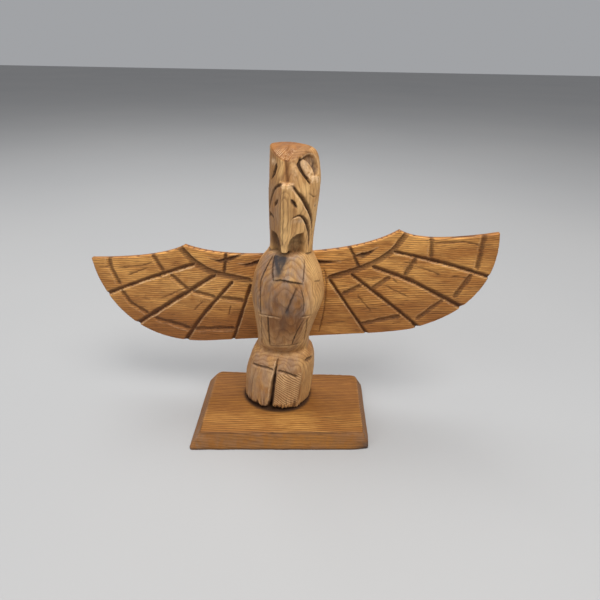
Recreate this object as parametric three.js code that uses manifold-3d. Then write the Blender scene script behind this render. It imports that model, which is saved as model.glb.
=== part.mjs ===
// Carved cedar totem pole: a bird with spread wings on a small block.
// Millimetres, +Z up, +X to the viewer's right, and the carved side faces -Y.
// The origin is the middle of the block's underside.
// Three pieces: the block, the pole (head, body and feet in one) and the wing board in a notch in its back.

import * as THREE from 'three';
import { mergeVertices } from 'three/addons/utils/BufferGeometryUtils.js';
import Module from 'manifold-3d';

const DEG = Math.PI / 180;
const GAP = 0.3; // glue line between touching pieces

// Block: a top face with a slightly skewed front edge, and sides that slope out to an upright foot
const BLOCK = {
  height: 8.5,
  foot: 1.2,
  left: -40,
  right: 40,
  back: 23.7,
  frontLeft: -25.6,
  frontRight: -21.8,
  backRadius: 4,
  frontRadius: 1.5,
  flare: { left: 5, right: 3.4, front: 3.3, back: 3.3 },
};

// Pole: sections up its height, each a half-round front on a flat back
// [height, centre x, half width, front depth, roundness of the front]
const SECTIONS = [
  [BLOCK.height + GAP, -4.3, 17.2, 14.2, 2.1],
  [14, -3.8, 17.7, 15, 2.1],
  [24, -2.8, 17.7, 15, 2.1],
  [34, -1.5, 16.4, 13.4, 2.2],
  [38.5, -1.2, 14.9, 11.3, 2.2],
  [41, -1.1, 13, 9.6, 2.2],
  [45, -0.9, 13, 11.6, 2.2],
  [57, 0.2, 14.9, 14.3, 2.2],
  [71, 1.3, 17.5, 16, 2.2],
  [80, 1.3, 16, 15.2, 2.2],
  [88, 1.5, 12.9, 13, 2.2],
  [92.4, 2.2, 10.4, 11.4, 2.1],
  [94, 2.6, 10, 10.8, 1.7],
  [104, 3, 10.5, 11.9, 1.65],
  [116, 3.5, 11.2, 12.5, 1.65],
  [126, 4, 11.5, 11.4, 1.6],
  [134, 3.5, 10.8, 9.9, 1.5],
  [141, 2.2, 9.2, 8.8, 1.6],
];
// The bird looks to the viewer's left, and its head more than its body: [height, turn in degrees]
const TURNS = [
  [10, 11],
  [60, 8],
  [88, 9],
  [96, 13],
  [108, 13.5],
  [124, 15.5],
  [140, 16],
];
// The sides behind the axis: [height, half depth, roundness]
const SIDES = [
  [80, 14, 3],
  [96, 10.5, 2.1],
];
const POLE_Y = 6; // depth of the pole's axis
const POLE_BACK_Y = 14.6; // flat back, at x = 0
const BACK_SQUARENESS = 14; // how sharp the corners between the sides and the flat back are
const SOLE = { inset: 0.16, lift: 1.5, foot: 0.2 }; // the underside of the feet is hollowed towards the front
// The beak stands proud of the face: heights and raise in mm, and it fades between two angles
const BEAK = { from: 94, full: 96, to: 125.2, step: 0.8, raise: 1.8, inner: 5, outer: 20 };
const CROWN = { height: 140.2, ahead: 0.2, behind: 0.17, power: 1.5, camber: 0.012 }; // slanted, domed top
const CROWN_FROM = 128; // the rings above this height lean with the crown
const LEANING_RINGS = [0, 0.35, 0.7, 1]; // those rings, as shares of the way up to the crown's edge
const CROWN_RINGS = [0.88, 0.55, 0.25]; // rings on the crown itself, as shares of its radius
const RING_STEP = 4; // spacing of the rings up the pole
const FRONT_STEPS = 28; // points round the front half and the back half of a ring
const BACK_STEPS = 10;

// Carved lines on the pole: points are [degrees round from the bird's middle, height]
// Those of the face are cut on both sides
const FACE_CUTS = [
  {
    name: 'cheek',
    path: [[13, 125.4], [34, 119.3], [60, 112.8], [76, 105], [81, 96.5]],
    wide: 2.4,
    deep: 1.5,
  },
  { name: 'mouth', path: [[14, 110.6], [32, 112.4], [52, 108.4], [64, 103], [69, 96]], wide: 1.8, deep: 1.3 },
  { name: 'nostril', path: [[12, 119.5], [25, 115.4]], wide: 1.6, deep: 1.4 },
  { name: 'eye, lower side', path: [[29, 133.2], [38, 129.4], [51, 125.2]], wide: 2, deep: 1.3 },
  { name: 'eye, upper side', path: [[38, 135.4], [58, 134.8], [76, 130.8], [82, 126.2]], wide: 3, deep: 1.6 },
];
const THROAT = { deep: 2.8, outline: [[7, 94], [12, 99], [23.5, 102.8], [47, 103.6], [54, 94]] };
const BODY_CUTS = [
  { name: 'furrow of the brow', path: [[2, 135.4], [2, 130], [2.5, 126]], wide: 3, deep: 0.8 },
  { name: 'breast, edge', path: [[-30, 92], [-40, 82], [-38, 71], [-38.5, 65.5]], wide: 0.9, deep: 0.7 },
  { name: 'breast, left', path: [[-26, 92], [-15.5, 82.6]], wide: 0.9, deep: 0.8 },
  { name: 'breast, foot', path: [[-15.5, 82.8], [3, 83], [38, 81.6]], wide: 1, deep: 1 },
  { name: 'breast, right', path: [[50, 91.5], [37, 82]], wide: 0.9, deep: 0.7 },
  { name: 'slanting crack', path: [[29.6, 80.3], [20.4, 75.4], [8.5, 67.5]], wide: 1, deep: 0.8 },
  { name: 'girdle, left', path: [[-49, 63.5], [-25, 64.8], [-2, 65]], wide: 1, deep: 0.5 },
  { name: 'girdle, right', path: [[33, 65.5], [55, 64.5]], wide: 1, deep: 0.5 },
  { name: 'side line', path: [[-37, 63], [-45.5, 47]], wide: 0.9, deep: 0.6 },
  { name: 'belly, left', path: [[-24.5, 64.6], [-24, 46.6]], wide: 1, deep: 0.8 },
  { name: 'belly, right', path: [[36, 61.2], [29, 48]], wide: 1, deep: 0.8 },
  { name: 'belly, foot', path: [[-21, 46.8], [4, 47.2], [28, 48]], wide: 1, deep: 0.6 },
  { name: 'toes, left', path: [[-50, 32.3], [-8.5, 33]], wide: 1.8, deep: 1.2 },
  { name: 'toes, right', path: [[4.5, 32.6], [47, 29.2]], wide: 1.8, deep: 1.2 },
  { name: 'notch of the heel', path: [[67, 37.6], [80, 36.3]], wide: 2.4, deep: 1.4 },
];
// The slot between the feet widens and deepens downwards
const FOOT_SLOT = { path: [[-1.5, 38.5], [3.5, 28], [4, 16], [2.5, 6]], wide: 3.6, deep: 4.6, narrow: 0.2 };

// Wing board: sizes run out from the middle and up from a line through it
const BOARD = { thick: 3, yaw: -3, roll: -6.53, x: 2.96, y: 10.92, z: 68.17, ease: 0.4 };
const ROOT = { top: 20.1, bottom: -26.5 };
const NOTCH = { width: 60, reach: 12, slack: 0.3 }; // cut through the pole's back for the board
const WINGS = {
  right: {
    side: 1,
    top: { control: [37, 19.2], peak: [52.4, 27.9] },
    trailing: { control: [62, 20.4], tip: [96.6, 23.5] },
    hem: { first: [98, 6], second: [91, -16], end: [60, -23.6] },
    nick: [57.4, -24.6],
    under: { control: [45, -26.3], end: [30, -26.2] },
    shoulder: [[56.4, 27], [48.5, 17.8], [37.2, 11.4], [18.4, 5.8]],
    quills: [
      [[50.3, 18], [75.4, 9.7], [94, 2.2]],
      [[40.3, 10.8], [59, 1.6], [83.4, -14]],
      [[30, 7.3], [52.1, -13.9], [60.8, -23], [62, -24.8]],
      [[19.3, 5], [36.4, -27.5]],
    ],
    inner: [
      [[66.7, 23.2], [66.5, 14]],
      [[59.5, 13.8], [54.6, 5.1]],
      [[47.7, 4.8], [39.4, -0.5]],
      [[33.7, 1.3], [25, -2.9]],
    ],
    outer: [
      [[89.9, 24], [87.7, 6.5]],
      [[85.4, 3.9], [78.1, -7.8]],
      [[72.6, -9], [60.6, -18.9]],
      [[52.1, -16.9], [33.5, -20.3]],
    ],
    ticks: [[[29.5, 22.2], [33.4, 11.3]]],
    wedges: [[[31.5, 16.6], [42.1, 20.2]], [[11, 14.9], [24, 13.9]]],
  },
  left: {
    side: -1,
    top: { control: [33, 19.7], peak: [49, 27.5] },
    trailing: { control: [62, 21.5], tip: [97.5, 24] },
    hem: { first: [98.5, 3], second: [88, -26], end: [48, -26.6] },
    shoulder: [[53, 28.6], [45.7, 18.4], [36.6, 12], [19.5, 6.8]],
    quills: [
      [[46.7, 17.8], [73.7, 10.8], [95, 4.4]],
      [[37.5, 11], [59.8, -0.9], [86, -15.2]],
      [[29.2, 6.7], [47.8, -11.3], [60.5, -26.4]],
      [[20.1, 4.7], [34.6, -27.8]],
    ],
    inner: [
      [[66, 23.5], [62.7, 15]],
      [[59.1, 12.3], [52.1, 3.4]],
      [[50.2, 3], [39.1, -1.3]],
      [[37.8, -1.4], [25, -3.9]],
    ],
    outer: [
      [[88.4, 24.6], [88.9, 18.7], [87, 9.4]],
      [[86.9, 5], [84, -1.8], [76.7, -8.3]],
      [[73.3, -11.5], [56.2, -18.6]],
      [[53.5, -19.1], [32.3, -19.8]],
    ],
    ticks: [[[29.4, 22.6], [32.2, 11.7]]],
    wedges: [[[29.5, 19], [38.6, 20.3]], [[12.5, 17.1], [24.4, 16.1]]],
  },
};
// Groove sizes on the board: lean is how far the bottom of the V lies towards the lower side
const SHOULDER_GROOVE = { wide: 2.8, deep: 1.2, lean: 0.3 };
const QUILL_GROOVES = [
  { wide: 2.4, deep: 1.2, lean: 0.4 },
  { wide: 2.9, deep: 1.3, lean: 0.4 },
  { wide: 2.4, deep: 1.3, lean: 0.4 },
  { wide: 2, deep: 1.2, lean: 0.3 },
];
const CROSS_GROOVE = { wide: 1.6, deep: 0.9, lean: 0 };
const TICK_GROOVE = { wide: 1.4, deep: 0.9, lean: 0 };
const WEDGE_CUT = { wide: 3.2, deep: 1.6, lean: -0.3, narrow: 0.1 };

const wasm = await Module();
wasm.setup();

const COLOURS = { block: 0x9c6a3c, pole: 0x98704c, wings: 0xa87842 };

function woodMaterial(color) {
  return new THREE.MeshStandardMaterial({ color, roughness: 0.6, metalness: 0 });
}

function toSolid(geometry) {
  const bare = geometry.clone();
  bare.deleteAttribute('normal');
  bare.deleteAttribute('uv');
  const merged = mergeVertices(bare, 1e-4);
  const vertProperties = new Float32Array(merged.attributes.position.array);
  const triVerts = new Uint32Array(merged.index.array);
  return new wasm.Manifold(new wasm.Mesh({ numProp: 3, vertProperties, triVerts }));
}

function toGeometry(solid) {
  const mesh = solid.getMesh();
  const geometry = new THREE.BufferGeometry();
  geometry.setAttribute('position', new THREE.BufferAttribute(mesh.vertProperties, 3));
  geometry.setIndex(new THREE.BufferAttribute(mesh.triVerts, 1));
  geometry.computeVertexNormals();
  return geometry;
}

function subtractAll(geometry, cutters) {
  let solid = toSolid(geometry);
  for (const cutter of cutters) solid = solid.subtract(toSolid(cutter));
  return toGeometry(solid);
}

// A closed skin over rings of equal length, each counter-clockwise from above, listed from the bottom up
function loft(rings) {
  const size = rings[0].length;
  const positions = [];
  for (const point of rings.flat()) positions.push(point.x, point.y, point.z);
  const faces = [];
  for (let row = 0; row < rings.length - 1; row++) {
    for (let i = 0; i < size; i++) {
      const j = (i + 1) % size;
      const [a, b] = [row * size + i, row * size + j];
      faces.push(a, b, b + size, a, b + size, a + size);
    }
  }
  const closeEnd = (ring, first, upward) => {
    const middle = new THREE.Vector3();
    for (const point of ring) middle.addScaledVector(point, 1 / size);
    const centre = positions.length / 3;
    positions.push(middle.x, middle.y, middle.z);
    for (let i = 0; i < size; i++) {
      const j = (i + 1) % size;
      faces.push(centre, first + (upward ? i : j), first + (upward ? j : i));
    }
  };
  closeEnd(rings[0], 0, false);
  closeEnd(rings[rings.length - 1], (rings.length - 1) * size, true);
  const geometry = new THREE.BufferGeometry();
  geometry.setAttribute('position', new THREE.Float32BufferAttribute(positions, 3));
  geometry.setIndex(faces);
  geometry.computeVertexNormals();
  return geometry;
}

// Smooth curve through the rows of a table by its first column, with no overshoot
function smoothColumn(table, column, at) {
  const x = table.map((row) => row[0]);
  const y = table.map((row) => row[column]);
  const last = x.length - 1;
  const rise = (i) => (y[i + 1] - y[i]) / (x[i + 1] - x[i]);
  const slope = (i) => {
    if (i === 0) return rise(0);
    if (i === last) return rise(last - 1);
    const [before, after] = [rise(i - 1), rise(i)];
    return before * after <= 0 ? 0 : (2 * before * after) / (before + after);
  };
  const clamped = THREE.MathUtils.clamp(at, x[0], x[last]);
  const i = Math.min(x.findLastIndex((value) => value <= clamped), last - 1);
  const span = x[i + 1] - x[i];
  const t = (clamped - x[i]) / span;
  const ease = t * t * (3 - 2 * t);
  const leave = t * (1 - t) * (1 - t) * span * slope(i);
  const arrive = t * t * (t - 1) * span * slope(i + 1);
  return y[i] * (1 - ease) + y[i + 1] * ease + leave + arrive;
}

// Radius of the pole's section at an angle from the bird's middle, positive to the viewer's right
function poleRadius(angle, z) {
  const centreX = smoothColumn(SECTIONS, 1, z);
  const width = smoothColumn(SECTIONS, 2, z);
  const atFront = Math.cos(angle) > 0;
  const depth = atFront ? smoothColumn(SECTIONS, 3, z) : smoothColumn(SIDES, 1, z);
  const power = atFront ? smoothColumn(SECTIONS, 4, z) : smoothColumn(SIDES, 2, z);
  const across = Math.abs(Math.sin(angle)) / width;
  const along = Math.abs(Math.cos(angle)) / depth;
  let radius = (across ** power + along ** power) ** (-1 / power);
  const onBeak = 1 - THREE.MathUtils.smoothstep(Math.abs(angle) / DEG, BEAK.inner, BEAK.outer);
  const lower = THREE.MathUtils.smoothstep(z, BEAK.from, BEAK.full);
  const upper = 1 - THREE.MathUtils.smoothstep(z, BEAK.to, BEAK.to + BEAK.step);
  radius += BEAK.raise * onBeak * lower * upper;
  // the flat back has the wing board's turn
  const boardTurn = BOARD.yaw * DEG;
  const facing = -Math.cos(angle - poleTurn(z) - boardTurn);
  if (facing < 0.01) return radius;
  const backRadius = (POLE_BACK_Y - POLE_Y + centreX * Math.sin(boardTurn)) / facing;
  return (radius ** -BACK_SQUARENESS + backRadius ** -BACK_SQUARENESS) ** (-1 / BACK_SQUARENESS);
}

function poleTurn(z) {
  return smoothColumn(TURNS, 1, z) * DEG;
}

function polePoint(angle, z, radius) {
  const direction = angle - poleTurn(z);
  const x = smoothColumn(SECTIONS, 1, z) + radius * Math.sin(direction);
  return new THREE.Vector3(x, POLE_Y - radius * Math.cos(direction), z);
}

// Height of the crown over a point of the head: across and ahead are measured from the pole's axis
function crownHeight(across, ahead) {
  const fall = (ahead > 0 ? CROWN.ahead : CROWN.behind) * Math.abs(ahead) ** CROWN.power;
  return CROWN.height - fall - CROWN.camber * across ** 2;
}

function crownEdge(angle) {
  let z = CROWN.height;
  for (let pass = 0; pass < 12; pass++) {
    const radius = poleRadius(angle, z);
    z = crownHeight(radius * Math.sin(angle), radius * Math.cos(angle));
  }
  return z;
}

function poleAngles() {
  const angles = [];
  for (let i = 0; i < FRONT_STEPS; i++) angles.push(-Math.PI / 2 + (Math.PI * i) / FRONT_STEPS);
  for (let i = 0; i < BACK_STEPS; i++) angles.push(Math.PI / 2 + (Math.PI * i) / BACK_STEPS);
  return angles;
}

// Heights of the rings: every section and the top of the beak, with even steps between them
function ringHeights() {
  const heights = [];
  const levels = [...SECTIONS.map((row) => row[0]), BEAK.full, BEAK.to, BEAK.to + BEAK.step];
  levels.sort((a, b) => a - b).splice(levels.findIndex((z) => z > CROWN_FROM));
  levels.push(CROWN_FROM);
  for (let i = 0; i < levels.length - 1; i++) {
    const count = Math.ceil((levels[i + 1] - levels[i]) / RING_STEP);
    for (let k = 0; k < count; k++) heights.push(levels[i] + ((levels[i + 1] - levels[i]) * k) / count);
  }
  return heights;
}

// The underside touches the block behind and lifts off it towards the front
function soleRing(angles, z, level) {
  return angles.map((angle) => {
    const ahead = Math.max(Math.cos(angle), 0);
    const height = z + level * (SOLE.foot + SOLE.lift * ahead);
    return polePoint(angle, height, poleRadius(angle, height) * (1 - (1 - level) * SOLE.inset * ahead));
  });
}

function poleBlank() {
  const angles = poleAngles();
  const [soleZ, ...heights] = ringHeights();
  const rings = [soleRing(angles, soleZ, 0), soleRing(angles, soleZ, 1)];
  for (const z of heights.filter((z) => z > soleZ + 2 * SOLE.lift)) {
    rings.push(angles.map((angle) => polePoint(angle, z, poleRadius(angle, z))));
  }
  const edge = angles.map(crownEdge);
  for (const share of LEANING_RINGS) {
    rings.push(
      angles.map((angle, i) => {
        const z = CROWN_FROM + (edge[i] - CROWN_FROM) * share;
        return polePoint(angle, z, poleRadius(angle, z));
      }),
    );
  }
  for (const share of CROWN_RINGS) {
    rings.push(
      angles.map((angle, i) => {
        const radius = poleRadius(angle, edge[i]) * share;
        return polePoint(angle, crownHeight(radius * Math.sin(angle), radius * Math.cos(angle)), radius);
      }),
    );
  }
  return loft(rings);
}

// A point at a height above the pole's skin: across is in degrees, up in mm
function onPole(across, up, height) {
  const angle = across * DEG;
  return polePoint(angle, up, poleRadius(angle, up) + height);
}

function onBoard(across, up, height) {
  return new THREE.Vector3(across, -height, up);
}

// A V-shaped cutter along a path on a skin, given by its surface function
// narrow is its share of the full size at the first end, and both ends run out in a short slope
function gouge(surface, path, { wide, deep, lean = 0, narrow = 1, runOut = 0.3 }) {
  const curve = new THREE.SplineCurve(path.map(([across, up]) => new THREE.Vector2(across, up)));
  const steps = path.length === 2 ? 3 : (path.length - 1) * 2;
  const over = 0.35; // the cutter stands this share of its depth proud of the skin
  const reach = 0.2; // how far along the path its direction is taken
  const rings = [];
  for (let i = 0; i <= steps; i++) {
    const share = i / steps;
    const at = curve.getPoint(share);
    const way = curve.getTangent(share).multiplyScalar(reach);
    const middle = surface(at.x, at.y, 0);
    const upright = surface(at.x, at.y, 1).sub(middle);
    const ahead = surface(at.x + way.x, at.y + way.y, 0).sub(surface(at.x - way.x, at.y - way.y, 0));
    const side = ahead.clone().cross(upright).normalize();
    const normal = side.clone().cross(ahead).normalize();
    const atEnd = i === 0 || i === steps;
    const size = THREE.MathUtils.lerp(narrow, 1, share) * (atEnd ? runOut : 1);
    const half = (wide / 2) * size * (1 + over);
    const leftRim = middle.clone().addScaledVector(side, -half).addScaledVector(normal, deep * size * over);
    const rightRim = middle.clone().addScaledVector(side, half).addScaledVector(normal, deep * size * over);
    const bed = middle.clone().addScaledVector(normal, -deep * size);
    bed.addScaledVector(side, (wide / 2) * size * lean);
    rings.push([leftRim, bed, rightRim]);
  }
  return outward(loft(rings));
}

// Turns a closed geometry inside out if its faces point in
function outward(geometry) {
  const position = geometry.attributes.position;
  const index = geometry.index.array;
  const [a, b, c] = [new THREE.Vector3(), new THREE.Vector3(), new THREE.Vector3()];
  let volume = 0;
  for (let i = 0; i < index.length; i += 3) {
    a.fromBufferAttribute(position, index[i]);
    b.fromBufferAttribute(position, index[i + 1]);
    c.fromBufferAttribute(position, index[i + 2]);
    volume += a.dot(b.cross(c));
  }
  if (volume < 0) {
    for (let i = 0; i < index.length; i += 3) [index[i], index[i + 1]] = [index[i + 1], index[i]];
  }
  return geometry;
}

// A pocket with an outline drawn on a skin: its floor is deep under it and its lid stands clear
function pocket(surface, outline, deep) {
  const clear = 2;
  const shape = new THREE.Shape(outline.map(([across, up]) => new THREE.Vector2(across, up)));
  const geometry = new THREE.ExtrudeGeometry(shape, { depth: 1, steps: 1, bevelEnabled: false });
  const merged = new THREE.BufferGeometry().setAttribute('position', geometry.attributes.position);
  const closed = mergeVertices(merged, 1e-4);
  const position = closed.attributes.position;
  for (let i = 0; i < position.count; i++) {
    const height = position.getZ(i) > 0.5 ? clear : -deep;
    const point = surface(position.getX(i), position.getY(i), height);
    position.setXYZ(i, point.x, point.y, point.z);
  }
  return outward(closed);
}

const mirrored = (path, side) => path.map(([across, up]) => [across * side, up]);

// Places a piece in the board's frame: across, front to back and up
function inBoardFrame(object) {
  const turn = new THREE.Group();
  turn.position.set(BOARD.x, BOARD.y, BOARD.z);
  turn.rotation.z = BOARD.yaw * DEG;
  object.rotation.y = BOARD.roll * DEG;
  turn.add(object);
  return turn;
}

function notchCutter() {
  const below = ROOT.bottom - GAP - NOTCH.slack;
  const above = ROOT.top + GAP + NOTCH.slack;
  const box = new THREE.BoxGeometry(NOTCH.width, NOTCH.reach, above - below);
  box.translate(0, NOTCH.reach / 2 - GAP, (above + below) / 2);
  const cutter = new THREE.Mesh(box);
  inBoardFrame(cutter).updateMatrixWorld(true);
  return box.applyMatrix4(cutter.matrixWorld);
}

function makePole() {
  const cutters = [notchCutter()];
  for (const side of [1, -1]) {
    for (const { path, wide, deep } of FACE_CUTS) {
      cutters.push(gouge(onPole, mirrored(path, side), { wide, deep }));
    }
    cutters.push(pocket(onPole, mirrored(THROAT.outline, side), THROAT.deep));
  }
  for (const { path, wide, deep } of BODY_CUTS) cutters.push(gouge(onPole, path, { wide, deep }));
  cutters.push(gouge(onPole, FOOT_SLOT.path, { ...FOOT_SLOT, runOut: 0.9 }));
  const mesh = new THREE.Mesh(subtractAll(poleBlank(), cutters), woodMaterial(COLOURS.pole));
  mesh.name = 'pole';
  return mesh;
}

function wingOutline() {
  const { right, left } = WINGS;
  const shape = new THREE.Shape();
  shape.moveTo(0, ROOT.top);
  shape.quadraticCurveTo(...right.top.control, ...right.top.peak);
  shape.quadraticCurveTo(...right.trailing.control, ...right.trailing.tip);
  shape.bezierCurveTo(...right.hem.first, ...right.hem.second, ...right.hem.end);
  shape.lineTo(...right.nick);
  shape.quadraticCurveTo(...right.under.control, ...right.under.end);
  shape.lineTo(0, ROOT.bottom);
  const flip = ([across, up]) => [-across, up];
  shape.lineTo(...flip(left.hem.end));
  shape.bezierCurveTo(...flip(left.hem.second), ...flip(left.hem.first), ...flip(left.trailing.tip));
  shape.quadraticCurveTo(...flip(left.trailing.control), ...flip(left.top.peak));
  shape.quadraticCurveTo(...flip(left.top.control), 0, ROOT.top);
  return shape;
}

function wingCutters({ side, shoulder, quills, inner, outer, ticks, wedges }) {
  // the lower side of a groove lies to one hand of its path, so the lean turns with the side
  const cut = (path, size) => gouge(onBoard, mirrored(path, side), { ...size, lean: size.lean * side });
  return [
    cut(shoulder, SHOULDER_GROOVE),
    ...quills.map((path, i) => cut(path, QUILL_GROOVES[i])),
    ...[...inner, ...outer].map((path) => cut(path, CROSS_GROOVE)),
    ...ticks.map((path) => cut(path, TICK_GROOVE)),
    ...wedges.map(([wideEnd, point]) => cut([point, wideEnd], WEDGE_CUT)),
  ];
}

function makeWings() {
  const { thick, ease } = BOARD;
  const board = new THREE.ExtrudeGeometry(wingOutline(), {
    depth: thick - 2 * ease,
    curveSegments: 10,
    bevelThickness: ease,
    bevelSize: ease,
    bevelOffset: -ease,
    bevelSegments: 1,
  });
  // the outline stands up, and its front face comes to y = 0
  board.rotateX(Math.PI / 2);
  board.translate(0, thick - ease, 0);
  const cutters = Object.values(WINGS).flatMap(wingCutters);
  const mesh = new THREE.Mesh(subtractAll(board, cutters), woodMaterial(COLOURS.wings));
  mesh.name = 'wings';
  return inBoardFrame(mesh);
}

// Plan of the block at a share of its flare out from the top face, with rounded corners
function blockPlan(share) {
  const { left, right, back, frontLeft, frontRight, backRadius, frontRadius, flare } = BLOCK;
  const [x0, x1, y1] = [left - flare.left * share, right + flare.right * share, back + flare.back * share];
  const corners = [
    { at: new THREE.Vector2(x0, frontLeft - flare.front * share), radius: frontRadius },
    { at: new THREE.Vector2(x1, frontRight - flare.front * share), radius: frontRadius },
    { at: new THREE.Vector2(x1, y1), radius: backRadius },
    { at: new THREE.Vector2(x0, y1), radius: backRadius },
  ];
  const points = [];
  for (let i = 0; i < 4; i++) {
    const { at, radius } = corners[i];
    const before = corners[(i + 3) % 4].at.clone().sub(at).setLength(radius).add(at);
    const after = corners[(i + 1) % 4].at.clone().sub(at).setLength(radius).add(at);
    points.push(...new THREE.QuadraticBezierCurve(before, at, after).getPoints(5));
  }
  return points;
}

function makeBlock() {
  const { height, foot } = BLOCK;
  const ringAt = (share, z) => blockPlan(share).map(({ x, y }) => new THREE.Vector3(x, y, z));
  const rings = [ringAt(1, 0), ringAt(1, foot), ringAt(0, height)];
  const mesh = new THREE.Mesh(loft(rings), woodMaterial(COLOURS.block));
  mesh.name = 'block';
  return mesh;
}

const totemPole = new THREE.Group();
totemPole.add(makeBlock(), makePole(), makeWings());

export default totemPole;
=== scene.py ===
"""A small carved cedar totem pole: a bird with spread wings on a low block.

Sizes are in millimetres, and the meshes are scaled to metres when they are made.
X runs to the viewer's right, the carved side faces -Y, and Z is up.
"""

import itertools
import math

import bpy
import numpy as np
from mathutils import Matrix, Vector


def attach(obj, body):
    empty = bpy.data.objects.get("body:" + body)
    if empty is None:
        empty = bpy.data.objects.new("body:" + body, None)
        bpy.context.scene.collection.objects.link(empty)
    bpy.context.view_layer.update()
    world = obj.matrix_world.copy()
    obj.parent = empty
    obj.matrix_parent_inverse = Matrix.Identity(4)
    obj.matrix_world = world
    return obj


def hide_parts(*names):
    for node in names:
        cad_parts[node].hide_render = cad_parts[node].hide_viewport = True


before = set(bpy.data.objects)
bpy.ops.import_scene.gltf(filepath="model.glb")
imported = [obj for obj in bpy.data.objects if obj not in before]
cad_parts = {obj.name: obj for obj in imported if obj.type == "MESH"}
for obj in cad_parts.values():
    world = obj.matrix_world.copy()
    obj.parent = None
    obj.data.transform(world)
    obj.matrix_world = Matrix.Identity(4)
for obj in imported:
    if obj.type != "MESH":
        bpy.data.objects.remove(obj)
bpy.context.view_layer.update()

MM = 0.001
GAP = 0.15  # the visual pieces stay this far apart where they are glued

# The camera, as worked out from the photograph's perspective: its angles are in degrees
CAMERA = {"at": (11.26, -194.89, 174.86), "pitch": 28.4, "roll": 1, "yaw": -1.15, "lens": 28.2, "sensor": 36}

# Block: a top face with a slightly skewed front edge, and sides that slope out to an upright foot
BLOCK = {
    "height": 8.5,
    "foot": 1.2,
    "left": -40,
    "right": 40,
    "back": 23.7,
    "front_left": -25.6,
    "front_right": -21.8,
    "back_radius": 4,
    "front_radius": 1.5,
    "flare": {"left": 5, "right": 3.4, "front": 3.3, "back": 3.3},
}

# Pole: [height, centre x, half width, front depth, roundness of the front]
SECTIONS = [
    (8.8, -4.3, 17.2, 14.2, 2.1),
    (14, -3.8, 17.7, 15, 2.1),
    (24, -2.8, 17.7, 15, 2.1),
    (34, -1.5, 16.4, 13.4, 2.2),
    (38.5, -1.2, 14.9, 11.3, 2.2),
    (41, -1.1, 13, 9.6, 2.2),
    (45, -0.9, 13, 11.6, 2.2),
    (57, 0.2, 14.9, 14.3, 2.2),
    (71, 1.3, 17.5, 16, 2.2),
    (80, 1.3, 16, 15.2, 2.2),
    (88, 1.5, 12.9, 13, 2.2),
    (92.4, 2.2, 10.4, 11.4, 2.1),
    (94, 2.6, 10, 10.8, 1.7),
    (104, 3, 10.5, 11.9, 1.65),
    (116, 3.5, 11.2, 12.5, 1.65),
    (126, 4, 11.5, 11.4, 1.6),
    (134, 3.5, 10.8, 9.9, 1.5),
    (141, 2.2, 9.2, 8.8, 1.6),
]
# How far the bird's middle is turned to the viewer's left: [height, degrees]
TURNS = [(10, 11), (60, 8), (88, 9), (96, 13), (108, 13.5), (124, 15.5), (140, 16)]
# The sides behind the axis: [height, half depth, roundness]
SIDES = [(80, 14, 3), (96, 10.5, 2.1)]
POLE_Y = 6
POLE_BACK_Y = 14.6
BACK_SQUARENESS = 14
SOLE = {"z": 8.8, "inset": 0.16, "lift": 1.5, "foot": 0.2}
BEAK = {"from": 94, "full": 96, "to": 125.2, "step": 0.8, "raise": 1.8, "inner": 5, "outer": 20}
CROWN = {"height": 140.2, "ahead": 0.2, "behind": 0.17, "power": 1.5, "camber": 0.012}
CROWN_FROM = 128

# Wing board: sizes run out from the middle and up from a line through it
BOARD = {"thick": 3, "yaw": -3, "roll": -6.53, "at": (2.96, 10.92, 68.17)}
ROOT = {"top": 20.1, "bottom": -26.5}
NOTCH_SLACK = 0.6


def eased(t):
    return t * t * (3 - 2 * t)


def smoothstep(value, low, high):
    return eased(np.clip((value - low) / (high - low), 0, 1))


def band(value, low, high, soft):
    """1 between two limits and 0 outside them, with soft flanks."""
    return smoothstep(value, low - soft, low + soft) * (1 - smoothstep(value, high - soft, high + soft))


def soft_spot(points, middle, size):
    """1 at the middle, fading out over a size in mm along each axis."""
    return np.exp(-np.sum(((points - np.array(middle)) / size) ** 2, axis=-1))


CHOICES = 4096  # how many random values the corners of a lattice pick from


def lattice(points, size):
    """Points in cells whose size in mm may differ along each axis, and the low corner of each one's cell."""
    cell = points / np.asarray(size, float)
    return cell, np.floor(cell).astype(np.int64)


def picked(corner):
    """Which random value each corner of the lattice has."""
    index = corner * (73856093, 19349663, 83492791)
    return (index[..., 0] ^ index[..., 1] ^ index[..., 2]) & (CHOICES - 1)


def noise(points, size, seed):
    """A smooth random field from -1 to 1 over points in mm."""
    values = np.random.default_rng(seed).uniform(-1, 1, CHOICES)
    cell, base = lattice(points, size)
    part = eased(cell - base)
    total = np.zeros(points.shape[:-1])
    for corner in itertools.product((0, 1), repeat=3):
        total += values[picked(base + corner)] * np.prod(np.where(corner, part, 1 - part), axis=-1)
    return total


def scoops(points, size, seed):
    """A knife's scoops: how far each point is from its scoop's middle, and from the ridge around it."""
    jitter = np.random.default_rng(seed).uniform(0.1, 0.9, (CHOICES, 3))
    cell, base = lattice(points, size)
    first = np.full(points.shape[:-1], 9.0)
    second = first.copy()
    for step in itertools.product((-1, 0, 1), repeat=3):
        corner = base + step
        off = np.linalg.norm(cell - corner - jitter[picked(corner)], axis=-1)
        second = np.minimum(second, np.maximum(first, off))
        first = np.minimum(first, off)
    return first, second - first


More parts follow.
